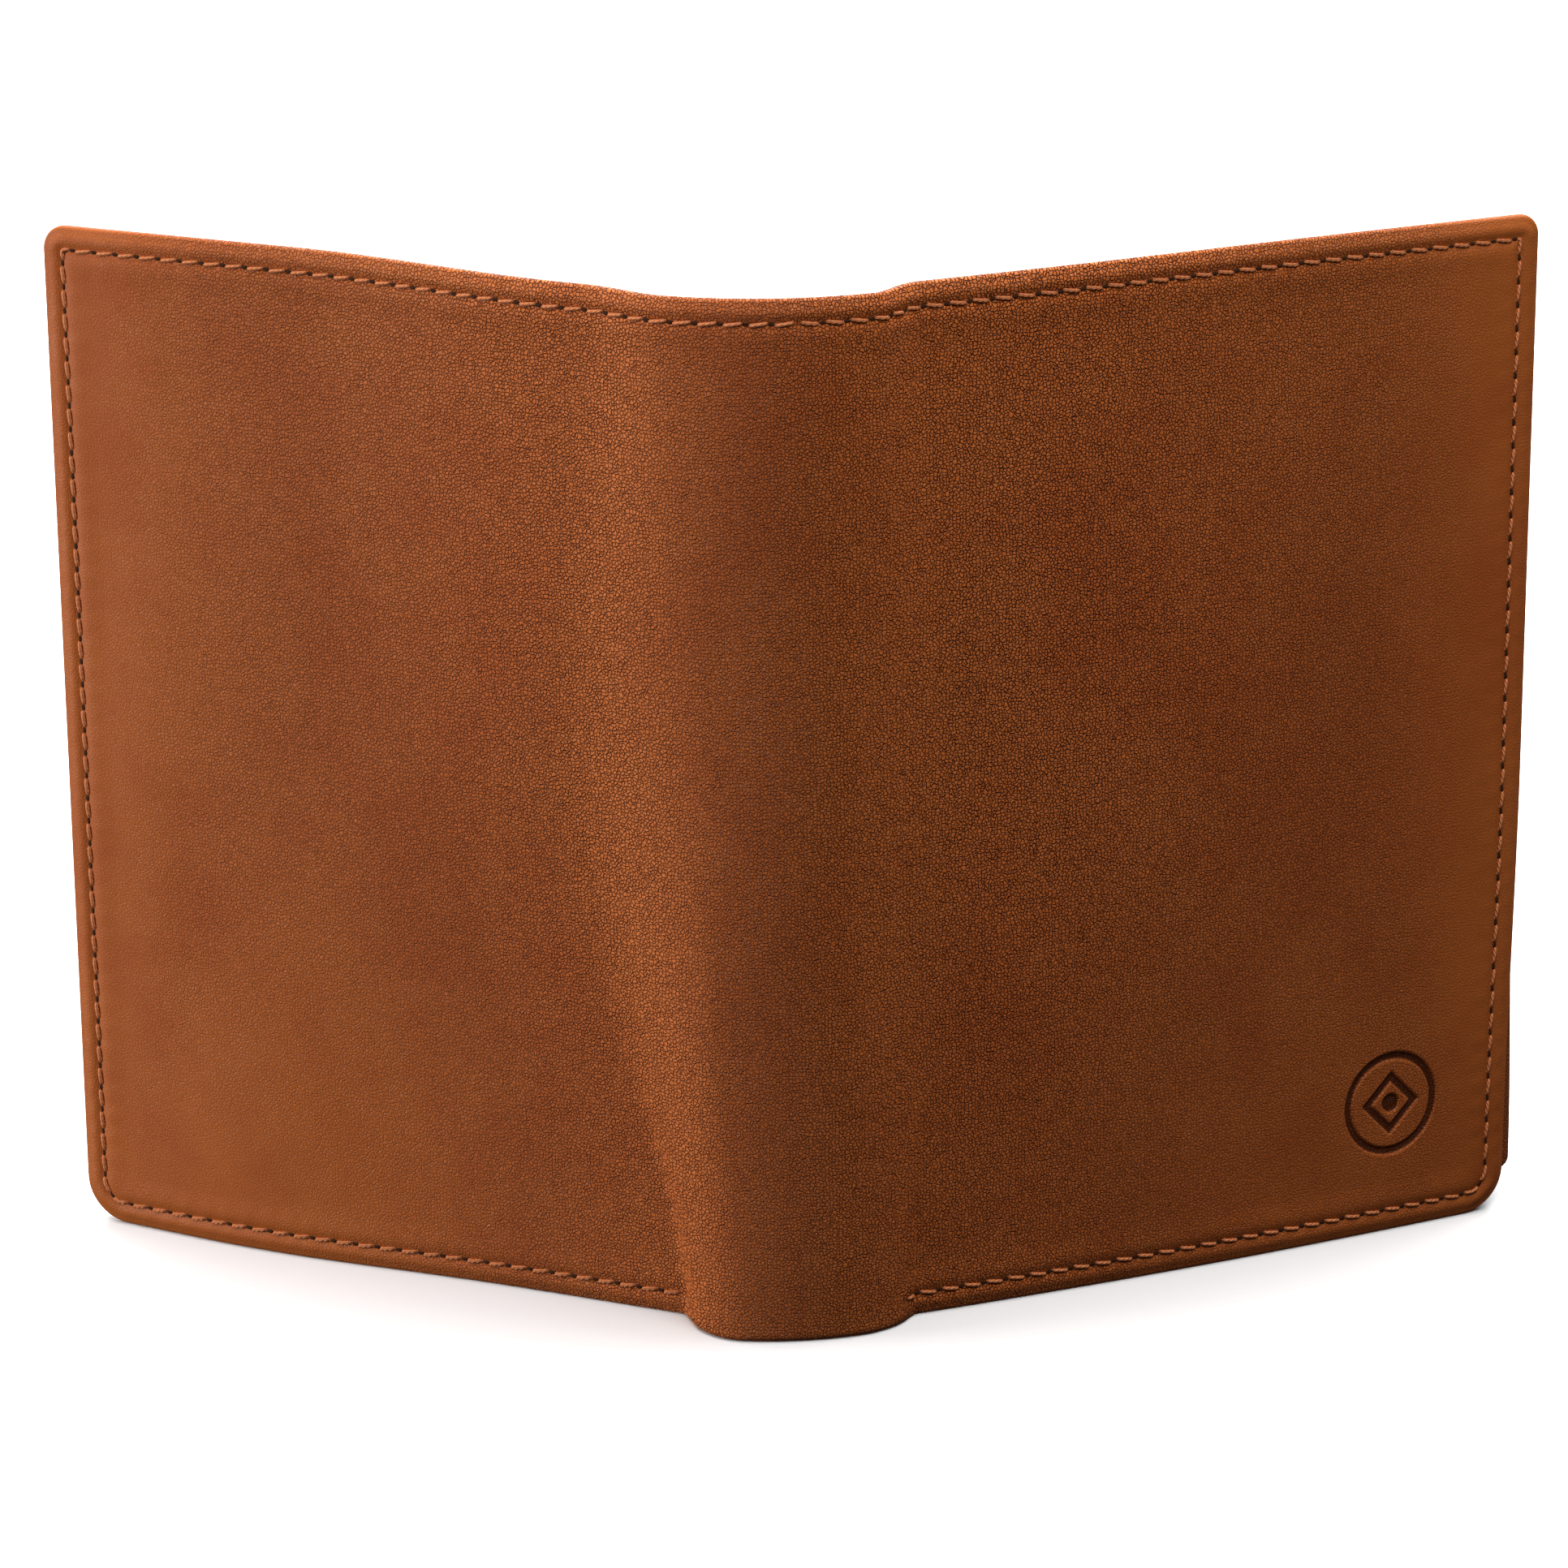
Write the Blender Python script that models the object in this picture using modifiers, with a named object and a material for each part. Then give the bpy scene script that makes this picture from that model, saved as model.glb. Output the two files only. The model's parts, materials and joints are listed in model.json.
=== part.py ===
"""A portrait bifold wallet in smooth tan leather, standing half open on its bottom edges.

The spine faces -Y and the two halves lean back from it. Each half is described in its own terms: u runs from the fold
line to the outer edge, w runs from the cover's outer face towards the inside, and z is up. All values are in metres.
"""

import math

import bmesh
import bpy

MM = 0.001

# Driving dimensions
HEIGHT = 125 * MM
PANEL_WIDTH = 81.5 * MM  # fold line to outer edge
SPINE_WIDTH = 26.4 * MM  # from one fold's axis to the other's
LEAN = math.radians(24)  # how far each half leans back from the spine at rest
FOLD_Y = -17.4 * MM  # puts the middle of the whole object's depth at y = 0
COVER_THICKNESS = 1.1 * MM
FOLD_W = COVER_THICKNESS / 2  # the fold's axis runs in the middle of the leather
FOLD_GAP = 0.8 * MM  # clear leather either side of a fold's axis
SPINE_BULGE_BOTTOM = 8.3 * MM  # how far the spine stands out in front of the fold lines
SPINE_BULGE_TOP = 4.2 * MM
SPINE_FOOT = 0.04 * MM  # the tapered skin's inner edge reaches this much lower than its outer edge
SPINE_STRIP_Y = 3.2 * MM  # the inner strip's middle, behind the fold lines
SKIN_GAP = 0.3 * MM

# Thread
THREAD_RADIUS = 0.18 * MM
THREAD_STAND_OFF = 0.45 * MM  # from the leather's face to the thread's middle
SEAM_INSET = 3.5 * MM  # from the cover's edges

# Centre leaf
LEAF_AXIS_U = 6.9 * MM
LEAF_AXIS_W = 8.1 * MM
LEAF_OVERHANG = 3.0 * MM  # how far the leaf passes the cover's outer edge

# Coin pocket
FLAP_AXIS_W = 5.15 * MM
FLAP_AXIS_Z = 73.4 * MM
FLAP_THICKNESS = 0.6 * MM
FLAP_WIDTH = 66 * MM
FLAP_OUTER_W = 14.5 * MM
FLAP_LOW_Z = 42 * MM
POCKET_MID_U = 43 * MM
SNAP_Z = 50 * MM
GUSSET_THICKNESS = 0.5 * MM

ROUND_STEPS = 24
ARC_STEPS = 5  # segments in a rounded corner


def clear_scene():
    for obj in list(bpy.data.objects):
        bpy.data.objects.remove(obj)


def make_collection(name):
    collection = bpy.data.collections.new(name)
    bpy.context.scene.collection.children.link(collection)
    return collection


def make_material(name, colour, roughness, metallic=0.0):
    material = bpy.data.materials.new(name)
    material.use_nodes = True
    shader = material.node_tree.nodes["Principled BSDF"]
    shader.inputs["Base Color"].default_value = (*colour, 1)
    shader.inputs["Roughness"].default_value = roughness
    shader.inputs["Metallic"].default_value = metallic
    return material


clear_scene()
WALLET = make_collection("bifold_wallet")
CUTTERS = make_collection("cutters")

LEATHER = ("leather", (0.32, 0.115, 0.038), 0.5)
INNER_LEATHER = ("inner_leather", (0.27, 0.095, 0.032), 0.55)
TEXTILE = ("textile", (0.05, 0.032, 0.022), 0.9)
BOARD = ("board", (0.35, 0.27, 0.18), 0.85)
THREAD = ("thread", (0.52, 0.22, 0.08), 0.7)
CLEAR = ("clear_film", (0.85, 0.87, 0.88), 0.1)
METAL = ("snap_metal", (0.45, 0.34, 0.2), 0.35, 1.0)


class Body:
    """A moving group of pieces: an empty on its joint's axis, at (side * u, w, z) of the half that it belongs to."""

    def __init__(self, name, side, u=0.0, w=FOLD_W, z=0.0, parent=None):
        self.side = side
        self.u = u
        self.w = w
        self.z = z
        self.empty = bpy.data.objects.new(name, None)
        WALLET.objects.link(self.empty)
        if parent is None:
            self.empty.location = (side * SPINE_WIDTH / 2, FOLD_Y, 0)
            self.empty.rotation_euler = (0, 0, side * LEAN)
        else:
            self.empty.parent = parent.empty
            self.empty.location = (side * (u - parent.u), w - parent.w, z - parent.z)

    def place(self, obj, u, w, z):
        obj.parent = self.empty
        obj.location = (self.side * (u - self.u), w - self.w, z - self.z)


def finish(obj, look):
    """Gives the object a material of its own and puts it in the wallet's collection."""
    name, colour, *surface = look
    obj.data.materials.append(make_material(f"{obj.name}_{name}", colour, *surface))
    WALLET.objects.link(obj)
    return obj


def rounded_rectangle(low, high, radii):
    """The outline's points, anticlockwise from the low corner; radii go round the same way."""
    corners = [(low[0], low[1]), (high[0], low[1]), (high[0], high[1]), (low[0], high[1])]
    points = []
    for number, ((x, y), radius) in enumerate(zip(corners, radii)):
        start = math.pi + number * math.pi / 2
        if radius == 0:
            points.append((x, y))
            continue
        centre_x = x + radius * (1 if number in (0, 3) else -1)
        centre_y = y + radius * (1 if number in (0, 1) else -1)
        for step in range(ARC_STEPS + 1):
            angle = start + step / ARC_STEPS * math.pi / 2
            points.append((centre_x + radius * math.cos(angle), centre_y + radius * math.sin(angle)))
    return points


def circle(x, y, radius):
    turns = [2 * math.pi * step / ROUND_STEPS for step in range(ROUND_STEPS)]
    return [(x + radius * math.cos(turn), y + radius * math.sin(turn)) for turn in turns]


def flat_curve(name, outlines, thickness):
    """A filled 2D outline, with any further outlines as holes, extruded to the thickness."""
    curve = bpy.data.curves.new(name, "CURVE")
    curve.dimensions = "2D"
    curve.fill_mode = "BOTH"
    curve.extrude = thickness / 2
    for outline in outlines:
        spline = curve.splines.new("POLY")
        spline.points.add(len(outline) - 1)
        for point, (x, y) in zip(spline.points, outline):
            point.co = (x, y, 0, 1)
        spline.use_cyclic_u = True
    return bpy.data.objects.new(name, curve)


def sheet(name, body, u, z, w, look, radii=(0, 0, 0, 0), holes=()):
    """A flat sheet of a half, between pairs of u, z and w. Corners: fold low, outer low, outer high, fold high."""
    outlines = [rounded_rectangle((u[0], z[0]), (u[1], z[1]), radii), *holes]
    flat = [[(body.side * (x - body.u), y - body.z) for x, y in outline] for outline in outlines]
    obj = flat_curve(name, flat, w[1] - w[0])
    obj.parent = body.empty
    obj.location = (0, (w[0] + w[1]) / 2 - body.w, 0)
    obj.rotation_euler = (math.pi / 2, 0, 0)
    return finish(obj, look)


def thread(name, body, route, w, look=THREAD, radius=THREAD_RADIUS):
    """A line of thread through (u, z) points at one depth w."""
    points = [(body.side * (u - body.u), w - body.w, z - body.z) for u, z in route]
    obj = tube(name, points, radius)
    obj.parent = body.empty
    return finish(obj, look)


def tube(name, points, radius):
    curve = bpy.data.curves.new(name, "CURVE")
    curve.dimensions = "3D"
    curve.bevel_depth = radius
    curve.bevel_resolution = 2
    curve.use_fill_caps = True
    spline = curve.splines.new("POLY")
    spline.points.add(len(points) - 1)
    for point, position in zip(spline.points, points):
        point.co = (*position, 1)
    return bpy.data.objects.new(name, curve)


def turned(name, body, profile, u, z, look, closed=False):
    """A round piece on an axis along w. The profile is (radius, w) points, run down the outer side."""
    mesh = bpy.data.meshes.new(name)
    count = len(profile)
    edges = [(i, i + 1) for i in range(count - 1)]
    if closed:
        edges.append((count - 1, 0))
    mesh.from_pydata([(radius, 0, w - body.w) for radius, w in profile], edges, [])
    obj = bpy.data.objects.new(name, mesh)
    screw = obj.modifiers.new("Turn", "SCREW")
    screw.steps = ROUND_STEPS
    screw.render_steps = ROUND_STEPS
    screw.use_merge_vertices = True
    screw.merge_threshold = 0.00001
    screw.use_smooth_shade = True
    body.place(obj, u, body.w, z)
    obj.rotation_euler = (-math.pi / 2, 0, 0)
    return finish(obj, look)


def spine_face(across, up):
    """A point (x, y) of the cover's outer face on the spine: across from -1 to 1, up from 0 to 1."""
    half = SPINE_WIDTH / 2
    x = across * (half - FOLD_GAP)
    bulge = SPINE_BULGE_BOTTOM + (SPINE_BULGE_TOP - SPINE_BULGE_BOTTOM) * up
    return x, FOLD_Y - FOLD_W - bulge * (1 - abs(x / half) ** 2.2) ** 0.8


def spine_point(across, up, inset):
    """The same point moved into the wallet by inset, square to the face."""
    step = 0.001
    x, y = spine_face(across, up)
    x0, y0 = spine_face(across - step, up)
    x1, y1 = spine_face(across + step, up)
    length = math.hypot(x1 - x0, y1 - y0)
    return x - inset * (y1 - y0) / length, y + inset * (x1 - x0) / length


def spine_skin(name, inset, thickness, low, high, look):
    """A curved sheet that follows the spine, inset from the cover's outer face."""
    mesh = bpy.data.meshes.new(name)
    shape = bmesh.new()
    bmesh.ops.create_grid(shape, x_segments=18, y_segments=6, size=1)
    for vert in shape.verts:
        up = (vert.co.y + 1) / 2
        x, y = spine_point(vert.co.x, up, inset)
        vert.co = (x, y, low + (high - low) * up)
    shape.to_mesh(mesh)
    shape.free()
    mesh.shade_smooth()
    obj = bpy.data.objects.new(name, mesh)
    solid = obj.modifiers.new("Thickness", "SOLIDIFY")
    solid.thickness = thickness
    solid.offset = -1
    return finish(obj, look)


def build_spine():
    spine_skin("cover_spine", 0, COVER_THICKNESS, SPINE_FOOT, HEIGHT, LEATHER)
    lining_inset = COVER_THICKNESS + SKIN_GAP
    spine_skin("lining_spine", lining_inset, 0.3 * MM, 3 * MM, HEIGHT - 3 * MM, TEXTILE)
    strip = flat_curve(
        "inner_spine_strip",
        [rounded_rectangle((-9.5 * MM, 2 * MM), (9.5 * MM, 117 * MM), (1 * MM,) * 4)],
        0.6 * MM,
    )
    strip.location = (0, FOLD_Y + SPINE_STRIP_Y, 0)
    strip.rotation_euler = (math.pi / 2, 0, 0)
    finish(strip, INNER_LEATHER)
    steps = 16
    height = 1 - SEAM_INSET / HEIGHT
    route = []
    for step in range(steps + 1):
        across = 0.92 * (2 * step / steps - 1)
        x, y = spine_point(across, height, -THREAD_STAND_OFF)
        route.append((x, y, height * HEIGHT))
    finish(tube("seam_spine_top", route, THREAD_RADIUS), THREAD)


def cover_seam_route():
    """From the fold along the top, down the outer edge and back along the bottom."""
    outer = PANEL_WIDTH - SEAM_INSET
    ring = rounded_rectangle(
        (1.5 * MM, SEAM_INSET), (outer, HEIGHT - SEAM_INSET), (0, 3 * MM, 0.8 * MM, 0)
    )
    return ring


def build_half_shell(body, side):
    """What both halves share: cover, board, lining, inner panel and the seam that joins them."""
    sheet(
        f"cover_{side}", body, (FOLD_GAP, PANEL_WIDTH), (0, HEIGHT), (0, COVER_THICKNESS), LEATHER,
        (0, 5.5 * MM, 2 * MM, 0),
    )
    sheet(
        f"stiffener_{side}", body, (4 * MM, 77.5 * MM), (5 * MM, 120 * MM), (1.4 * MM, 1.8 * MM), BOARD,
        (2 * MM,) * 4,
    )
    sheet(
        f"lining_{side}", body, (3 * MM, 79 * MM), (3 * MM, 122 * MM), (2.1 * MM, 2.4 * MM), TEXTILE,
        (1 * MM, 4 * MM, 2 * MM, 1 * MM),
    )
    sheet(
        f"inner_panel_{side}", body, (4.5 * MM, 80 * MM), (2 * MM, 117 * MM), (3.2 * MM, 3.8 * MM),
        INNER_LEATHER, (1 * MM, 4.5 * MM, 2 * MM, 1 * MM),
    )
    thread(f"seam_{side}", body, cover_seam_route(), -THREAD_STAND_OFF)


def build_card_slots(body):
    slot_high = 111 * MM
    slot_low = 8 * MM
    outer = 78.5 * MM
    sheet(
        "slot_lining_right", body, (9.5 * MM, outer), (9 * MM, 110 * MM), (4.1 * MM, 4.3 * MM), TEXTILE,
        (1 * MM,) * 4,
    )
    for number in range(3):
        mouth = (10 + 9 * number) * MM
        depth = (4.6 + 0.8 * number) * MM
        sheet(
            f"card_slot_right_{number + 1}", body, (mouth, outer), (slot_low, slot_high),
            (depth, depth + 0.5 * MM), INNER_LEATHER, (0.5 * MM, 3 * MM, 3 * MM, 0.5 * MM),
        )
    inset = 2 * MM
    mouth = 29.5 * MM
    route = [
        (mouth, slot_high - inset),
        (outer - inset, slot_high - inset),
        (outer - inset, slot_low + inset),
        (mouth, slot_low + inset),
    ]
    thread("card_slot_seam", body, route, 7.05 * MM, radius=0.15 * MM)


def build_leaf(parent):
    """The centre leaf lies on the right half and turns about a strip beside the fold."""
    sheet(
        "leaf_hinge_strip", parent, (4.9 * MM, 8.9 * MM), (6 * MM, 116 * MM), (4.1 * MM, 6.9 * MM),
        INNER_LEATHER, (0.5 * MM,) * 4,
    )
    leaf = Body("centre_leaf", 1, LEAF_AXIS_U, LEAF_AXIS_W, 0, parent)
    near = LEAF_AXIS_U + 0.9 * MM
    outer = PANEL_WIDTH + LEAF_OVERHANG
    low, high = 4.5 * MM, 118 * MM
    corners = (0.5 * MM, 3.5 * MM, 3.5 * MM, 0.5 * MM)
    sheet("leaf_back", leaf, (near, outer), (low, high), (7.5 * MM, 8 * MM), INNER_LEATHER, corners)
    inset = 2.5 * MM
    sheet(
        "leaf_core", leaf, (near + inset, outer - inset), (low + inset, high - inset),
        (8.3 * MM, 8.6 * MM), BOARD, (1.5 * MM,) * 4,
    )
    sheet("leaf_front", leaf, (near, outer), (low, high), (8.9 * MM, 9.4 * MM), INNER_LEATHER, corners)
    window_u = (16 * MM, 74 * MM)
    window_z = (14 * MM, 106 * MM)
    border = 6 * MM
    sheet("id_window", leaf, window_u, window_z, (9.6 * MM, 9.8 * MM), CLEAR, (1 * MM,) * 4)
    hole = rounded_rectangle(
        (window_u[0] + border, window_z[0] + border),
        (window_u[1] - border, window_z[1] - border),
        (3 * MM,) * 4,
    )
    frame_edge = 2 * MM
    sheet(
        "id_window_frame", leaf, (window_u[0] - frame_edge, window_u[1] + frame_edge),
        (window_z[0] - frame_edge, window_z[1] + frame_edge), (10 * MM, 10.5 * MM), INNER_LEATHER,
        (3 * MM,) * 4, [hole],
    )
    seam = 2 * MM
    route = rounded_rectangle((near + 1.5 * MM, low + seam), (outer - seam, high - seam), (0, 2 * MM, 2 * MM, 0))
    thread("leaf_seam", leaf, route, 9.75 * MM, radius=0.15 * MM)


def band_outline(u, z, thickness):
    """A U of the given wall, open at the top, between pairs of u and z."""
    radius = 5 * MM
    outside = rounded_rectangle((u[0], z[0]), (u[1], z[1]), (radius, radius, 0, 0))
    inside = rounded_rectangle(
        (u[0] + thickness, z[0] + thickness),
        (u[1] - thickness, z[1]),
        (radius - thickness, radius - thickness, 0, 0),
    )
    return outside + inside[::-1]


def as_mesh(obj):
    """A mesh object in place of a curve, so that it can be cut."""
    bpy.context.scene.collection.objects.link(obj)
    bpy.context.view_layer.update()
    graph = bpy.context.evaluated_depsgraph_get()
    mesh = bpy.data.meshes.new_from_object(obj.evaluated_get(graph))
    shape = bmesh.new()
    shape.from_mesh(mesh)
    bmesh.ops.remove_doubles(shape, verts=shape.verts, dist=0.000001)
    bmesh.ops.recalc_face_normals(shape, faces=shape.faces)
    shape.to_mesh(mesh)
    shape.free()
    name, matrix = obj.name, obj.matrix_world.copy()
    bpy.data.objects.remove(obj)
    made = bpy.data.objects.new(name, mesh)
    made.matrix_world = matrix
    return made


def flap_profile():
    """The flap's section, as (w, z) points: a roof over the pocket's mouth, a rounded fold, and the tongue."""
    half = FLAP_THICKNESS / 2
    start = FLAP_AXIS_W + 0.6 * MM
    fold = 2 * MM
    outer = FLAP_OUTER_W
    inner = outer - FLAP_THICKNESS
    top = FLAP_AXIS_Z + half
    points = [(start, FLAP_AXIS_Z - half), (inner - fold + FLAP_THICKNESS, FLAP_AXIS_Z - half)]
    arc = [step / ARC_STEPS * math.pi / 2 for step in range(ARC_STEPS + 1)]
    centre = (outer - fold, top - fold)
    small = fold - FLAP_THICKNESS
    points += [(centre[0] + small * math.sin(a), centre[1] + small * math.cos(a)) for a in arc[1:]]
    points += [(inner, FLAP_LOW_Z), (outer, FLAP_LOW_Z)]
    points += [(centre[0] + fold * math.sin(a), centre[1] + fold * math.cos(a)) for a in arc[::-1]]
    points.append((start, top))
    return points


def build_flap(parent):
    flap = Body("coin_flap_hinge", -1, POCKET_MID_U, FLAP_AXIS_W, FLAP_AXIS_Z, parent)
    section = [(w - FLAP_AXIS_W, z - FLAP_AXIS_Z) for w, z in flap_profile()]
    leather = flat_curve("coin_flap", [section], FLAP_WIDTH)
    leather.rotation_euler = (math.pi / 2, 0, math.pi / 2)
    leather = as_mesh(leather)
    shape = rounded_rectangle(
        (-FLAP_WIDTH / 2, FLAP_LOW_Z - FLAP_AXIS_Z), (FLAP_WIDTH / 2, 5 * MM), (9 * MM, 9 * MM, 0, 0)
    )
    hole = circle(0, SNAP_Z - FLAP_AXIS_Z, 1.3 * MM)
    cutter = flat_curve("flap_outline", [shape, hole], 60 * MM)
    cutter.rotation_euler = (math.pi / 2, 0, 0)
    cutter = as_mesh(cutter)
    cutter.hide_render = True
    cutter.display_type = "WIRE"
    CUTTERS.objects.link(cutter)
    cut = leather.modifiers.new("Outline", "BOOLEAN")
    cut.operation = "INTERSECT"
    cut.object = cutter
    for obj in (leather, cutter):
        obj.parent = flap.empty
    finish(leather, INNER_LEATHER)
    cap = [(0, 15.6), (2.5, 15.5), (4.4, 15.2), (5.5, 14.7), (0.9, 14.7), (0.9, 13.8), (0, 13.8)]
    socket = [(1.1, 13.7), (4.6, 13.7), (4.6, 13.0), (2.5, 13.0), (2.5, 13.5), (1.1, 13.5)]
    snap_piece("snap_cap", flap, cap)
    snap_piece("snap_socket", flap, socket, True)
    inset = 2 * MM
    half = FLAP_WIDTH / 2
    route = rounded_rectangle(
        (POCKET_MID_U - half + inset, FLAP_LOW_Z + inset),
        (POCKET_MID_U + half - inset, FLAP_AXIS_Z - 3 * MM),
        (7 * MM, 7 * MM, 0, 0),
    )
    route.insert(0, route.pop())
    thread("coin_flap_seam", flap, route, FLAP_OUTER_W + 0.35 * MM, radius=0.15 * MM)


def snap_piece(name, body, profile_mm, closed=False):
    """One turned piece of the press stud, from (radius, w) points in millimetres."""
    profile = [(radius * MM, w * MM) for radius, w in profile_mm]
    turned(name, body, profile, POCKET_MID_U, SNAP_Z, METAL, closed)


def build_coin_pocket(parent):
    sheet(
        "slip_pocket_left", parent, (5.5 * MM, 79 * MM), (3.5 * MM, 104 * MM), (4.1 * MM, 4.6 * MM),
        INNER_LEATHER, (1 * MM, 4 * MM, 1 * MM, 1 * MM),
    )
    back_u = (8 * MM, 78 * MM)
    sheet(
        "coin_pocket_back", parent, back_u, (6 * MM, 72.8 * MM), (4.9 * MM, 5.4 * MM), INNER_LEATHER,
        (5 * MM, 5 * MM, 0.5 * MM, 0.5 * MM),
    )
    front = Body("coin_front", -1, POCKET_MID_U, 12.05 * MM, 0, parent)
    front_u = (9 * MM, 77 * MM)
    front_z = (6.5 * MM, 70.5 * MM)
    hole = circle(POCKET_MID_U, SNAP_Z, 1.2 * MM)
    sheet(
        "coin_pocket_front", front, front_u, front_z, (11.8 * MM, 12.3 * MM), INNER_LEATHER,
        (5 * MM, 5 * MM, 1 * MM, 1 * MM), [hole],
    )
    inset = 1.2 * MM
    band = band_outline(
        (front_u[0] + inset, front_u[1] - inset), (front_z[0] + inset, front_z[1] - inset), GUSSET_THICKNESS
    )
    gusset = flat_curve("coin_pocket_gusset", [[(-u, z) for u, z in band]], 5.8 * MM)
    gusset.parent = parent.empty
    gusset.location = (0, 8.6 * MM - parent.w, 0)
    gusset.rotation_euler = (math.pi / 2, 0, 0)
    finish(gusset, TEXTILE)
    stud = [(0, 13.3), (1.9, 13.3), (1.9, 12.8), (3.4, 12.8), (3.4, 12.5), (1.1, 12.5), (1.1, 13.1), (0, 13.1)]
    rivet = [(0, 12.9), (0.8, 12.9), (0.8, 11.6), (3.0, 11.6), (3.0, 11.3), (0, 11.3)]
    snap_piece("snap_stud", front, stud)
    snap_piece("snap_rivet", front, rivet)
    seam = 2.6 * MM
    route = rounded_rectangle(
        (front_u[0] + seam, front_z[0] + seam), (front_u[1] - seam, front_z[1] - 1 * MM), (4 * MM, 4 * MM, 0, 0)
    )
    route.insert(0, route.pop())
    thread("coin_pocket_seam", front, route, 12.65 * MM, radius=0.15 * MM)


def build_wallet():
    left = Body("left_half", -1)
    right = Body("right_half", 1)
    build_spine()
    build_half_shell(left, "left")
    build_half_shell(right, "right")
    build_coin_pocket(left)
    build_flap(left)
    build_card_slots(right)
    build_leaf(right)


build_wallet()
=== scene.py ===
"""The looks of the bifold wallet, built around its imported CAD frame, in metres and in that frame."""

import json
import math

import bmesh
import bpy
import numpy as np
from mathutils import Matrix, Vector


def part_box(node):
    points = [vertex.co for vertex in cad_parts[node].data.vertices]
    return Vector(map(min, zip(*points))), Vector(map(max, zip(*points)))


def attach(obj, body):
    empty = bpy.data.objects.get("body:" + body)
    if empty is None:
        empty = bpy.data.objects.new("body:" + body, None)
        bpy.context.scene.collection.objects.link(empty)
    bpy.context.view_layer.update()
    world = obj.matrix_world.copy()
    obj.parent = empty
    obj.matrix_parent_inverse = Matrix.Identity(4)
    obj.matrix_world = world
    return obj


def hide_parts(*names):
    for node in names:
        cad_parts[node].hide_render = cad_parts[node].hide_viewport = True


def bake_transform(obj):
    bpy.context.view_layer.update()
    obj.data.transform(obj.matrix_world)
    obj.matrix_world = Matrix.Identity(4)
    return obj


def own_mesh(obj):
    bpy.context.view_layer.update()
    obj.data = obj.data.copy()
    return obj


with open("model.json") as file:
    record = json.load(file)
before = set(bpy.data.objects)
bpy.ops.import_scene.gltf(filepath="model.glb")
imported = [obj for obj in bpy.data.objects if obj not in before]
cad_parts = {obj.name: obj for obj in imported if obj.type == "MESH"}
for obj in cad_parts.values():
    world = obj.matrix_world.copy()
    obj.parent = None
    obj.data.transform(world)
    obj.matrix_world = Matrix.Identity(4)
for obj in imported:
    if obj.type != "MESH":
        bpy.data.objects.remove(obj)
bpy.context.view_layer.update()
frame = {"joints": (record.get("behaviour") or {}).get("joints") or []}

MM = 0.001


def mm(values):
    return tuple(v * MM for v in values)


# ---- the wallet's own measures, from the frame
JOINTS = {joint["name"]: joint for joint in frame["joints"]}
HALF_SPINE = JOINTS["right_fold"]["pos_m"][0]
FOLD_Y = JOINTS["right_fold"]["pos_m"][1]
press_axis = JOINTS["coin_pocket_press"]["axis"]
LEAN = math.atan2(press_axis[0], press_axis[1])
TAN, SIN, COS = math.tan(LEAN), math.sin(LEAN), math.cos(LEAN)
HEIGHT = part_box("cover_right")[1].z
COVER_THICKNESS = 1.1 * MM
FOLD_W = COVER_THICKNESS / 2
EDGE_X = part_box("cover_right")[1].x - 0.2 * MM
PANEL = (EDGE_X - HALF_SPINE) / COS  # fold line to outer edge

# The two halves' outer faces, carried on, would meet at this depth.
APEX_Y = FOLD_Y - FOLD_W * COS - (HALF_SPINE + FOLD_W * SIN) * TAN
NOSE = 5.2 * MM  # how softly the cover turns from one half to the other
SEAM_INSET = 2.8 * MM
STITCH_PITCH = 2.85 * MM


def smooth(x, low, high):
    t = np.clip((x - low) / (high - low), 0, 1)
    return t * t * (3 - 2 * t)


def hump(x, centre, width):
    return np.exp(-(((x - centre) / width) ** 2))


def unit(vectors):
    return vectors / np.maximum(np.linalg.norm(vectors, axis=-1, keepdims=True), 1e-15)


# ---- the cover's shape
def fold_lines(z):
    """Where the left and right creases run at height z, as x."""
    return (-20.0 + 7.6 * np.exp(-((z / (45 * MM)) ** 2))) * MM, (10.8 + 0.7 * z / HEIGHT) * MM


def fold_widths(z):
    """How far the turn at each crease reaches to either side: it is sharp at the sewn top and at the foot."""
    soft = hump(z, 66 * MM, 34 * MM)
    return (2.2 + 2.0 * z / HEIGHT + 6.5 * soft) * MM, (2.0 + 4.5 * soft) * MM


def bow(x, z):
    """How far a half is curved away from a flat plane, along y, at height z."""
    up = np.clip(z / HEIGHT, 0, 1)
    low = 1 - up
    u = np.clip((np.abs(x) - HALF_SPINE) / COS / PANEL, 0, 1)
    right = 0.8 * up * smooth(u, 0.2, 0.7) - 1.1 * low * np.sin(math.pi * u)
    left = -2.3 * low * hump(np.abs(x), 66 * MM, 22 * MM)
    return np.where(x > 0, right, left) * MM


def half_shift(x, z):
    """How far everything at x on a half stands from the half's own plane, along y."""
    return bow(x, z) + TAN * (np.sqrt(x**2 + NOSE**2) - np.abs(x))


def step_up(x, foot, crest, roundness):
    """From 0 at a fold's foot to 1 at its crest: an even S, or where round, steep below and full above."""
    t = np.clip((x - foot) / (crest - foot), 0, 1)
    full = np.sqrt(1 - (1 - t) ** 2)
    return smooth(t, 0, 1) * (1 - roundness) + full * roundness


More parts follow.
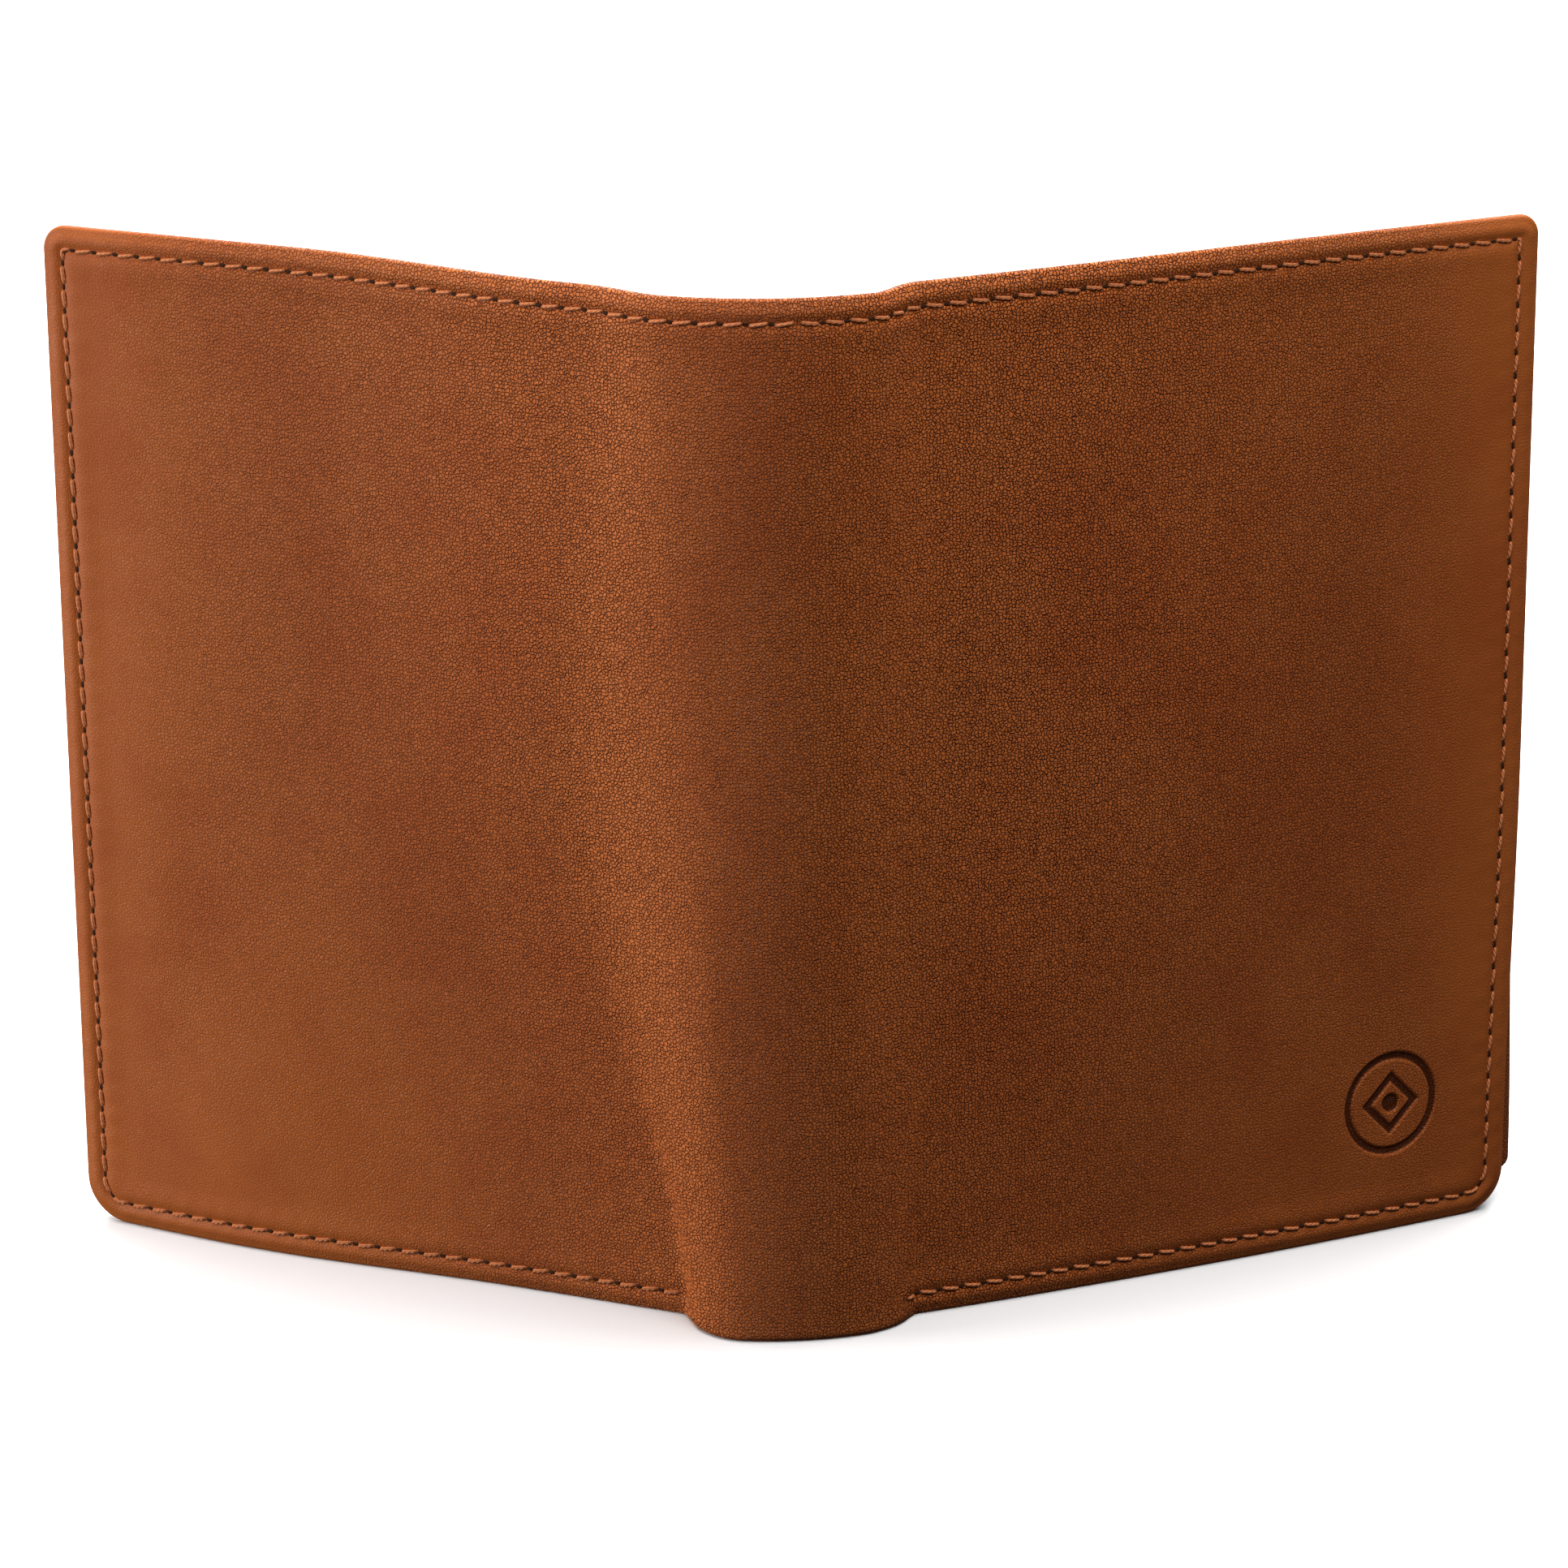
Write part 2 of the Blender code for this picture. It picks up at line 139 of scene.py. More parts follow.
def cover_y(x, z):
    """The depth of the cover's outer face: two flat halves, and the rounded spine that stands out between."""
    left, right = fold_lines(z)
    left_width, right_width = fold_widths(z)
    low = smooth(z, 42 * MM, 4 * MM)
    fuller = 3.2 * MM * low
    on_left = step_up(x, left - left_width + low * MM, left + left_width + fuller, low)
    on_right = step_up(x, right + right_width, right - right_width - 0.7 * fuller, low)
    on_spine = on_left * on_right
    beside_spine = smooth(-x, 0, 12 * MM) * smooth(-x, 58 * MM, 26 * MM)
    swell = -4.6 * MM * beside_spine * smooth(z, 15 * MM, 115 * MM)
    halves = TAN * np.sqrt(x**2 + NOSE**2) + bow(x, z) + swell
    spine = -1.4 * MM + 15.0 * (x + 4 * MM) ** 2
    return APEX_Y + halves * (1 - on_spine) + spine * on_spine


def painted_highlight(x, z):
    """1 where a paler highlight is painted on: light on the rolled edges, on the left fold's crest and at the
    foot of the spine.
    """
    d = edge_distance(x / COS, z, COVER_BOX, COVER_RADII)
    crest = (0.6 + 0.5 * hump(z, 48 * MM, 30 * MM)) * hump(x, fold_lines(z)[0] - 0.5 * MM, 6 * MM)
    foot = 0.6 * hump(x, -2 * MM, 9 * MM) * hump(z, 10 * MM, 30 * MM)
    return np.maximum(np.maximum(0.45 * hump(d, 0, 3.2 * MM), crest), foot)


def smoothness(x, z):
    """Above 0 where the cover's grain is ironed faint, below 0 beside the folds, where it is deepest."""
    left, right = fold_lines(z)
    foot = hump(z, 4 * MM, 38 * MM)
    faint = np.maximum(0.85 * hump(x, -72 * MM, 34 * MM) * foot, 0.55 * hump(x, 64 * MM, 34 * MM) * foot)
    faint = np.maximum(faint, 0.85 * hump(np.abs(x), 85 * MM, 13 * MM))
    deepest = np.maximum(0.4 * hump(x, left - 6 * MM, 15 * MM), 0.5 * hump(x, right + 16 * MM, 27 * MM))
    return faint - (1 - faint) * deepest


def across_both(face_y):
    """A function that places (p, z, depth): p runs across both halves, and depth goes in from the face."""

    def place(p, z, depth):
        x = p * COS
        step = 0.2 * MM
        across = (face_y(x + step, z) - face_y(x - step, z)) / (2 * step)
        along = (face_y(x, z + step) - face_y(x, z - step)) / (2 * step)
        length = np.sqrt(1 + across**2 + along**2)
        y = face_y(x, z) + depth / length
        return np.stack([x - depth * across / length, y, z - depth * along / length], -1)

    return place


free_cover_point = across_both(cover_y)


def cover_point(p, z, depth):
    """A place on the cover, whose right edge runs in a little towards its foot."""
    trim = 0.7 * MM * smooth(p, 70 * MM, 92 * MM) * (1 - smooth(z, 8 * MM, 58 * MM))
    return free_cover_point(p - trim, z, depth)


def at_level(side, u, w, z):
    """The point (u, w, z) of one half, which follows that half's bow."""
    across = w - FOLD_W
    x = HALF_SPINE + u * COS - across * SIN
    y = FOLD_Y + u * SIN + across * COS + half_shift(side * (HALF_SPINE + u * COS), z)
    return np.stack(np.broadcast_arrays(side * x, y, z), -1)


def half_point(side, u, w, z):
    """at_level for one point in millimetres."""
    return tuple(map(float, at_level(side, np.array(u * MM), w * MM, np.array(z * MM))))


def inside_face(side, level, lean=None):
    """A function that places (u, z, depth): depth goes from the face at w = level towards the cover."""

    def place(u, z, depth):
        along, outward = lean(u, z) if lean else (0, 0)
        return at_level(side, u + along, level - depth - outward, z)

    return place


# ---- sheets of leather, cloth and board
def spread(length, cell, ends, fine=None):
    """Distances from 0 to length: close at both ends, cell apart between, and closer in the stretch fine."""
    first = [e for e in ends if e < length * 0.4]
    last = first[-1]
    stops = [last, length - last]
    cells = [cell]
    if fine:
        stops = [last, fine[0], fine[1], length - last]
        cells = [cell, fine[2], cell]
    middle = []
    for start, end, step in zip(stops, stops[1:], cells):
        count = max(2, round((end - start) / step))
        middle.extend(np.linspace(start, end, count + 1)[:-1])
    return np.concatenate([first, middle[1:], length - np.array(first[::-1])])


def edge_distance(p, z, box, radii):
    """Distance inside the outline's edge. radii: low left, low right, high right, high left."""
    p0, p1, z0, z1 = box
    cp, cz = (p0 + p1) / 2, (z0 + z1) / 2
    low, right = z < cz, p > cp
    radius = np.where(low, np.where(right, radii[1], radii[0]), np.where(right, radii[2], radii[3]))
    qx = np.abs(p - cp) - (p1 - p0) / 2 + radius
    qz = np.abs(z - cz) - (z1 - z0) / 2 + radius
    outside = np.hypot(np.maximum(qx, 0), np.maximum(qz, 0))
    return np.maximum(-(np.minimum(np.maximum(qx, qz), 0) + outside - radius), 0)


def corner_inset(z, box, low_radius, high_radius):
    z0, z1 = box[2:]
    inset = np.zeros_like(z)
    for radius, gap in ((low_radius, z - z0), (high_radius, z1 - z)):
        near = np.clip(radius - gap, 0, radius)
        inset += radius - np.sqrt(np.maximum(radius**2 - near**2, 0))
    return inset


# How far in the grid's lines run at a sheet's edge, so that its rim is round.
RIM = mm((0, 0.04, 0.15, 0.35, 0.6, 0.9, 1.3, 1.8, 2.4))
BACK_SHIFT = 0.4  # how far the back lies from the front on the flat map


class Grid:
    """A closed sheet: a front and a back grid of points that meet round the rim."""

    def __init__(
        self, box, radii, place, thickness, relief=None, cell=2 * MM, ends=RIM, mirror=False, fine=None
    ):
        p0, p1, z0, z1 = box
        fine_p, fine_z = fine or (None, None)
        cols = spread(p1 - p0, cell, ends, fine_p)
        rows = spread(z1 - z0, cell, ends, fine_z)
        z = np.repeat((z0 + rows)[:, None], len(cols), 1)
        left = p0 + corner_inset(z, box, radii[0], radii[3])
        right = p1 - corner_inset(z, box, radii[1], radii[2])
        p = left + cols[None, :] / (p1 - p0) * (right - left)
        d = edge_distance(p, z, box, radii)
        d[0], d[-1], d[:, 0], d[:, -1] = 0, 0, 0, 0
        t = thickness(d) if callable(thickness) else np.full_like(d, thickness)
        rim = t / 2
        round_off = rim - np.sqrt(np.maximum(rim**2 - (rim - np.minimum(d, rim)) ** 2, 0))
        inside = smooth(d, 0, 0.8 * MM)
        front = relief(p, z, d) * inside if relief else 0
        self.p, self.z, self.mirror = p, z, mirror
        self.front = place(p, z, round_off - front)
        self.back = place(p, z, t - round_off)
        turn = -1 if mirror else 1
        self.front_normals = turn * grid_normals(self.front)
        self.back_normals = -turn * grid_normals(self.back)
        for part in (np.s_[0], np.s_[-1], np.s_[:, 0], np.s_[:, -1]):
            both = unit(self.front_normals[part] + self.back_normals[part])
            self.front_normals[part] = both
            self.back_normals[part] = both

    def mesh(self, name, first=0, last=None):
        """A mesh of the columns from first to last. A side that isn't the sheet's own edge gets a wall."""
        count = self.front.shape[1]
        last = count - 1 if last is None else last
        cut = np.s_[:, first : last + 1]
        front, back = self.front[cut], self.back[cut]
        rows, cols = front.shape[:2]
        ids = np.arange(rows * cols).reshape(rows, cols)
        shared = np.zeros((rows, cols), bool)
        shared[0], shared[-1] = True, True
        shared[:, 0] |= first == 0
        shared[:, -1] |= last == count - 1
        back_ids = ids.copy()
        back_ids[~shared] = rows * cols + np.arange((~shared).sum())
        points = np.concatenate([front.reshape(-1, 3), back[~shared]])
        normals = np.concatenate([self.front_normals[cut].reshape(-1, 3), self.back_normals[cut][~shared]])
        flat = np.stack([self.p[cut], self.z[cut]], -1)
        flat = np.concatenate([flat.reshape(-1, 2), flat[~shared] + (BACK_SHIFT, 0)])
        quads = [quad_strip(ids), quad_strip(back_ids)[:, ::-1]]
        if first > 0:
            quads.append(wall(ids[:, 0], back_ids[:, 0])[:, ::-1])
        if last < count - 1:
            quads.append(wall(ids[:, -1], back_ids[:, -1]))
        faces = np.concatenate(quads)
        if self.mirror:
            faces = faces[:, ::-1]
        return build_mesh(name, points, faces, flat, normals)

    def halves(self, name):
        """Two meshes, a left and a right one, that meet in the middle."""
        split = int(np.argmin(np.abs(self.p[len(self.p) // 2])))
        return self.mesh(f"{name}_left", 0, split), self.mesh(f"{name}_right", split)


def quad_strip(ids):
    a, b = ids[:-1, :-1], ids[:-1, 1:]
    c, d = ids[1:, 1:], ids[1:, :-1]
    return np.stack([a, b, c, d], -1).reshape(-1, 4)


def wall(front, back):
    """Quads that close a cut side; front and back are columns of point numbers, and ends may be shared."""
    return np.stack([front[:-1], back[:-1], back[1:], front[1:]], -1)


def ring_quads(rings, beside):
    """Quads from each closed ring of point numbers to the ring beside it."""
    return np.stack([rings, np.roll(rings, -1, -1), np.roll(beside, -1, -1), beside], -1).reshape(-1, 4)


def grid_normals(points):
    """Unit normals on the side from which columns run to the right and rows run up."""
    return unit(np.cross(np.gradient(points, axis=1), np.gradient(points, axis=0)))


def build_mesh(name, points, faces, flat, normals=None):
    """A mesh object from arrays, with smooth normals and a real-scale flat map in metres."""
    mesh = bpy.data.meshes.new(name)
    loops = []
    for face in faces:
        unique = [int(v) for k, v in enumerate(face) if v != face[k - 1]]
        if len(unique) > 2:
            loops.append(unique)
    mesh.from_pydata(points.tolist(), [], loops)
    layer = mesh.uv_layers.new(name="hide")
    index = np.zeros(len(mesh.loops), int)
    mesh.loops.foreach_get("vertex_index", index)
    layer.data.foreach_set("uv", flat[index].astype(np.float32).ravel())
    mesh.shade_smooth()
    if normals is not None:
        mesh.normals_split_custom_set_from_vertices(normals.tolist())
    obj = bpy.data.objects.new(name, mesh)
    bpy.context.scene.collection.objects.link(obj)
    return obj


def closed(obj, sharp_from, weld=False):
    """Fills the open ends, or welds a seam, and turns every face outwards."""
    bm = bmesh.new()
    bm.from_mesh(obj.data)
    if weld:
        bmesh.ops.remove_doubles(bm, verts=bm.verts, dist=1e-7)
    else:
        bmesh.ops.holes_fill(bm, edges=[e for e in bm.edges if e.is_boundary], sides=0)
    bmesh.ops.recalc_face_normals(bm, faces=bm.faces)
    bm.to_mesh(obj.data)
    bm.free()
    obj.data.shade_smooth()
    obj.data.set_sharp_from_angle(angle=math.radians(sharp_from))
    return obj


# The debossed mark, low on the right half's outer face: its place on the cover and its simple figure.
STAMP_P, STAMP_Z = 78.5 * MM, 16.7 * MM
STAMP_RING = 6.1 * MM
STAMP_DIAMOND = 3.4 * MM
STAMP_DOT = 0.7 * MM
STAMP_LINE = 0.7 * MM


# ---- materials
class Nodes:
    """A short way to write a material's nodes."""

    def __init__(self, name, colour, roughness, **sockets):
        self.material = bpy.data.materials.new(name)
        self.material.use_nodes = True
        self.tree = self.material.node_tree
        self.shader = self.tree.nodes["Principled BSDF"]
        self.set(self.shader, "Base Color", (*colour, 1))
        self.set(self.shader, "Roughness", roughness)
        for socket, value in sockets.items():
            self.set(self.shader, socket.replace("_", " "), value)
        self.material.diffuse_color = (*colour, 1)

    def set(self, node, socket, value):
        if isinstance(value, bpy.types.NodeSocket):
            self.tree.links.new(value, node.inputs[socket])
        else:
            node.inputs[socket].default_value = value

    def add(self, kind, inputs=None, output=0, **settings):
        node = self.tree.nodes.new("ShaderNode" + kind)
        for key, value in settings.items():
            setattr(node, key, value)
        for socket, value in (inputs or {}).items():
            self.set(node, socket, value)
        return node.outputs[output]

    def flat_map(self, stretch=(1, 1, 1), turn=0.0):
        """The piece's flat map in millimetres, stretched."""
        uv = self.add("UVMap", uv_map="hide")
        scale = tuple(1000 * s for s in stretch)
        return self.add("Mapping", {"Vector": uv, "Scale": scale, "Rotation": (0, 0, turn)})

    def noise(self, vector, scale, detail=3.0, roughness=0.55, **more):
        inputs = {"Vector": vector, "Scale": scale, "Detail": detail, "Roughness": roughness, **more}
        return self.add("TexNoise", inputs, "Fac", noise_dimensions="2D")

    def range(self, value, low, high, to_low=0.0, to_high=1.0):
        inputs = {"Value": value, "From Min": low, "From Max": high, "To Min": to_low, "To Max": to_high}
        return self.add("MapRange", inputs, interpolation_type="SMOOTHSTEP")

    def math(self, operation, a, b=0.0):
        return self.add("Math", {0: a, 1: b}, operation=operation)

    def times(self, a, b):
        return self.math("MULTIPLY", a, b)

    def mix(self, factor, a, b):
        a, b = (c if isinstance(c, bpy.types.NodeSocket) else (*c, 1) for c in (a, b))
        return self.add("Mix", {0: factor, 6: a, 7: b}, 2, data_type="RGBA")

    def bump(self, height, distance, strength=1.0, normal=None):
        inputs = {"Height": height, "Distance": distance, "Strength": strength}
        if normal is not None:
            inputs["Normal"] = normal
        return self.add("Bump", inputs)

    def colour(self, value):
        self.set(self.shader, "Base Color", value)

    def rough(self, value):
        self.set(self.shader, "Roughness", value)

    def normal(self, value):
        self.set(self.shader, "Normal", value)


PEBBLES, SMALL_PEBBLES = 2.4, 4.2  # to a millimetre
VALLEY = 0.25  # a valley's half width, in pebbles
VALLEY_DEPTH = 0.19 * MM


def leather(name, light, dark, deep, grain=1.0, mottle=1.0, marked=False):
    """Full-grain leather: fine pebbles with dark valleys between, soft stains, a painted highlight where a
    piece carries one, and a semi-matte finish.
    """
    n = Nodes(name, light, 0.52, Specular_IOR_Level=0.17)
    flat = n.flat_map()
    warp = n.add("TexNoise", {"Vector": flat, "Scale": 1.8, "Detail": 1.0}, "Color", noise_dimensions="2D")
    centred = n.add("VectorMath", {0: warp, 1: (0.5, 0.5, 0.5)}, operation="SUBTRACT")
    offset = n.add("VectorMath", {0: centred, 1: (0.4, 0.4, 0)}, operation="MULTIPLY")
    pebble_map = n.add("VectorMath", {0: flat, 1: offset}, operation="ADD")

    def valleys(scale):
        inputs = {"Vector": pebble_map, "Scale": scale, "Randomness": 0.9}
        settings = {"feature": "DISTANCE_TO_EDGE", "voronoi_dimensions": "2D"}
        return n.range(n.add("TexVoronoi", inputs, "Distance", **settings), 0.0, VALLEY, 1.0, 0.0)

    ironed = n.add("Attribute", output="Fac", attribute_name="smoothness")
    depth = n.range(n.noise(flat, 0.45, 2.0, 0.6), 0.3, 0.65, 0.85, 1.0)
    valley = n.math("MAXIMUM", n.times(valleys(PEBBLES), depth), n.times(valleys(SMALL_PEBBLES), 0.15))
    valley = n.times(valley, n.times(n.math("SUBTRACT", 1.0, ironed), 0.7))
    fine = n.noise(flat, 4.5, 3.0, 0.6)
    stain = n.noise(n.flat_map((1.0, 0.6, 1.0)), 0.035, 4.0, 0.5, Distortion=0.3)
    cloud = n.noise(flat, 0.13, 4.0, 0.6)
    stains = n.range(n.math("ADD", n.times(stain, 0.6), n.times(cloud, 0.4)), 0.34, 0.68)
    base = n.mix(n.times(stains, mottle), light, dark)
    specks = n.range(n.noise(flat, 1.9, 2.0), 0.5, 0.75)
    base = n.mix(n.times(specks, 0.05), base, deep)
    # Painted highlight: the base turns paler and yellower where the attribute below is high, for light on the
    # rolled edges, the left fold's crest and the spine's foot.
    highlight_weight = n.times(n.add("Attribute", output="Fac", attribute_name="painted_highlight"), 0.6)
    base = n.mix(highlight_weight, base, (1.2 * light[0], 1.32 * light[1], 1.6 * light[2]))
    # Faint grain looks paler than deep grain, so the base is darkened under it and lightened elsewhere.
    lift = n.math("MAXIMUM", n.times(ironed, -0.8), n.times(ironed, -0.17))
    base = n.add("VectorMath", {0: base, "Scale": n.math("ADD", lift, 1.0)}, operation="SCALE")
    colour = n.mix(n.times(valley, grain), base, deep)
    if marked:
        colour = n.mix(n.times(stamp_mask(n, flat), 0.86), colour, tuple(0.32 * c for c in deep))
    n.colour(colour)
    uneven = n.math("ADD", n.times(fine, 0.5), stains)
    n.rough(n.range(uneven, 0.2, 1.4, 0.47, 0.62))
    low = n.bump(n.noise(flat, 0.3, 2.0), 0.2 * MM, 0.15)
    mid = n.bump(n.times(valley, -1.0), VALLEY_DEPTH, grain, low)
    n.normal(n.bump(fine, 0.03 * MM, 0.5 * grain, mid))
    return n.material


def stamp_mask(n, flat):
    """The mark's grooves on the flat map: the same ring, diamond and dot as in the shape."""
    from_centre = n.add("VectorMath", {0: flat, 1: (STAMP_P / MM, STAMP_Z / MM, 0)}, operation="SUBTRACT")
    around = n.add("VectorMath", {0: from_centre}, "Value", operation="LENGTH")
    ring = n.math("ABSOLUTE", n.math("SUBTRACT", around, STAMP_RING / MM))
    sides = n.add("VectorMath", {0: from_centre}, operation="ABSOLUTE")
    total = n.add("VectorMath", {0: sides, 1: (1, 1, 0)}, "Value", operation="DOT_PRODUCT")
    diamond = n.times(n.math("ABSOLUTE", n.math("SUBTRACT", total, STAMP_DIAMOND / MM)), math.sqrt(0.5))
    dot = n.math("MAXIMUM", n.math("SUBTRACT", around, STAMP_DOT / MM), 0.0)
    nearest = n.math("MINIMUM", n.math("MINIMUM", ring, diamond), dot)
    half = STAMP_LINE / MM / 2
    return n.range(nearest, half, half + 0.16, 1.0, 0.0)


def thread_material():
    """Twisted thread: slanting strands along the map's u, which runs along each stitch."""
    colour = (0.66, 0.215, 0.078)
    n = Nodes("seam_thread", colour, 0.62, Specular_IOR_Level=0.25)
    inputs = {"Vector": n.flat_map(), "Scale": 0.9, "Distortion": 0.3}
    twist = n.add("TexWave", inputs, "Fac", bands_direction="DIAGONAL")
    dark = tuple(0.62 * c for c in colour)
    n.colour(n.mix(n.range(twist, 0.0, 0.5), dark, colour))
    n.normal(n.bump(twist, 0.08 * MM, 0.8))
    return n.material


# The needle holes' colour is painted shade: near black, as dark as the inside of a hole.
def hole_shade_material():
    n = Nodes("needle_hole_shade", (0.035, 0.012, 0.006), 0.9, Specular_IOR_Level=0.1)
    n.colour(n.mix(n.noise(n.flat_map(), 3.0), (0.02, 0.008, 0.004), (0.06, 0.022, 0.01)))
    return n.material


def textile_material():
    """A fine plain weave, about two threads to the millimetre."""
    n = Nodes("textile", (0.075, 0.036, 0.02), 0.85, Specular_IOR_Level=0.2, Sheen_Weight=0.2)
    flat = n.flat_map()
    inputs = {"Vector": flat, "Scale": 0.62, "Distortion": 0.4}
    warp, weft = (n.add("TexWave", inputs, "Fac", bands_direction=way) for way in "XY")
    weave = n.times(warp, weft)
    slub = n.noise(flat, 0.8, 3.0)
    body = n.mix(n.range(slub, 0.3, 0.7), (0.05, 0.024, 0.014), (0.095, 0.046, 0.026))
    n.colour(n.mix(n.range(weave, 0.0, 0.6), (0.03, 0.014, 0.008), body))
    n.normal(n.bump(weave, 0.15 * MM, 0.8))
    return n.material


def board_material():
    """Bonded leather board, with short fibres."""
    n = Nodes("board", (0.28, 0.2, 0.13), 0.9, Specular_IOR_Level=0.2)
    fibres = n.noise(n.flat_map((1, 0.25, 1), 0.6), 1.8, 4.0, 0.7, Distortion=0.8)
    spots = n.noise(n.flat_map(), 0.5, 3.0)
    n.colour(n.mix(n.range(fibres, 0.3, 0.7), (0.2, 0.14, 0.09), (0.34, 0.25, 0.165)))
    n.rough(n.range(spots, 0.2, 0.8, 0.82, 0.95))
    n.normal(n.bump(fibres, 0.06 * MM, 0.6))
    return n.material


def film_material():
    """Soft clear film: glossy, with faint scuffs."""
    n = Nodes("clear_film", (0.9, 0.92, 0.93), 0.08, IOR=1.5, Alpha=0.16)
    scuffs = n.noise(n.flat_map((0.12, 1, 1), 0.5), 1.1, 4.0, 0.7)
    n.rough(n.range(scuffs, 0.45, 0.8, 0.05, 0.16))
    n.normal(n.bump(n.noise(n.flat_map(), 0.08, 2.0), 0.3 * MM, 0.1))
    return n.material


def metal_material():
    """Antiqued brass: patchy, darker in places by noise, with fine scratches."""
    n = Nodes("snap_metal", (0.42, 0.3, 0.15), 0.34, Metallic=1.0)
    patina = n.noise(n.flat_map(), 0.9, 4.0, 0.6)
    scratches = n.noise(n.flat_map((0.15, 3.0, 1), 0.9), 2.0, 3.0, 0.7)
    n.colour(n.mix(n.range(patina, 0.35, 0.7), (0.46, 0.33, 0.17), (0.2, 0.135, 0.07)))
    n.rough(n.range(n.math("ADD", patina, scratches), 0.7, 1.3, 0.26, 0.5))
    n.normal(n.bump(scratches, 0.02 * MM, 0.5))
    return n.material


# Each leather's light, dark and deepest colour.
COVER_COLOURS = (0.44, 0.112, 0.0215), (0.384, 0.0855, 0.0145), (0.1, 0.0145, 0.0014)
INNER_COLOURS = (0.32, 0.0865, 0.0205), (0.288, 0.0725, 0.016), (0.1, 0.0155, 0.002)
MATERIALS = {
    "cover_leather": leather("cover_leather", *COVER_COLOURS, marked=True),
    "inner_leather": leather("inner_leather", *INNER_COLOURS, grain=0.8, mottle=0.8),
    "textile": textile_material(),
    "board": board_material(),
    "clear_film": film_material(),
    "snap_metal": metal_material(),
    "seam_thread": thread_material(),
}
NEEDLE_HOLE_SHADE = hole_shade_material()


def dress(obj, slot):
    """Gives a piece the material of one of the record's slots."""
    obj.data.materials.append(MATERIALS[slot])
    return obj


# ---- stitches
def run_length(points):
    """How far along a polyline, given as an (n, k) array, each of its points is."""
    return np.concatenate([[0], np.cumsum(np.linalg.norm(np.diff(points, axis=0), axis=1))])


def resample(points, count):
    """Points evenly along a polyline."""
    along = run_length(points)
    at = np.linspace(0, along[-1], count)
    return np.stack([np.interp(at, along, points[:, k]) for k in range(points.shape[1])], 1)


def outline_route(box, radii, inset, steps=7):
    """Points at a fixed distance inside a rounded outline, from the high left corner anticlockwise."""
    p0, p1, z0, z1 = box[0] + inset, box[1] - inset, box[2] + inset, box[3] - inset
    low_left, low_right, high_right, high_left = (max(r - inset, 0.3 * MM) for r in radii)
    corners = (
        (p0 + high_left, z1 - high_left, high_left, 90),
        (p0 + low_left, z0 + low_left, low_left, 180),
        (p1 - low_right, z0 + low_right, low_right, 270),
        (p1 - high_right, z1 - high_right, high_right, 360),
    )
    points = []
    for x, z, radius, start in corners:
        for turn in np.radians(np.linspace(start, start + 90, steps)):
            points.append((x + radius * math.cos(turn), z + radius * math.sin(turn)))
    return points


TUBE_SIDES = 8
STRAND = 2.2 * MM  # a stitch's length and girth on the flat map, whatever its size
GIRTH = 1.7 * MM


def tubes(centres, tangents, normals, radii):
    """Closed tubes round centre lines of shape (tubes, samples, 3): their points, faces and flat map."""
    lateral = np.cross(tangents, normals)
    turn = np.linspace(0, 2 * math.pi, TUBE_SIDES, endpoint=False)
    ring = normals[..., None, :] * np.cos(turn)[:, None] + lateral[..., None, :] * np.sin(turn)[:, None]
    points = centres[..., None, :] + ring * radii[None, :, None, None]
    ids = np.arange(points.size // 3).reshape(points.shape[:3])
    faces = [ring_quads(ids[:, :-1], ids[:, 1:])]
    for k in range(TUBE_SIDES // 2 - 1):
        strip = [k, k + 1, TUBE_SIDES - 2 - k, TUBE_SIDES - 1 - k]
        faces.append(ids[:, 0][:, strip[::-1]])
        faces.append(ids[:, -1][:, strip])
    u, v = np.meshgrid(np.linspace(0, STRAND, len(radii)), np.linspace(0, GIRTH, TUBE_SIDES), indexing="ij")
    flat = np.tile(np.stack([u, v], -1).reshape(-1, 2), (len(centres), 1))
    return points.reshape(-1, 3), np.concatenate(faces), flat


# A seam's pitch, its thread's radius, the depth of its groove, a stitch's slant and its share of the pitch.
COVER_SEAM = (STITCH_PITCH, 0.235 * MM, 0.2 * MM, 0.15 * MM, 0.75)
INNER_SEAM = (2.6 * MM, 0.2 * MM, 0.05 * MM, 0.12 * MM, 0.7)


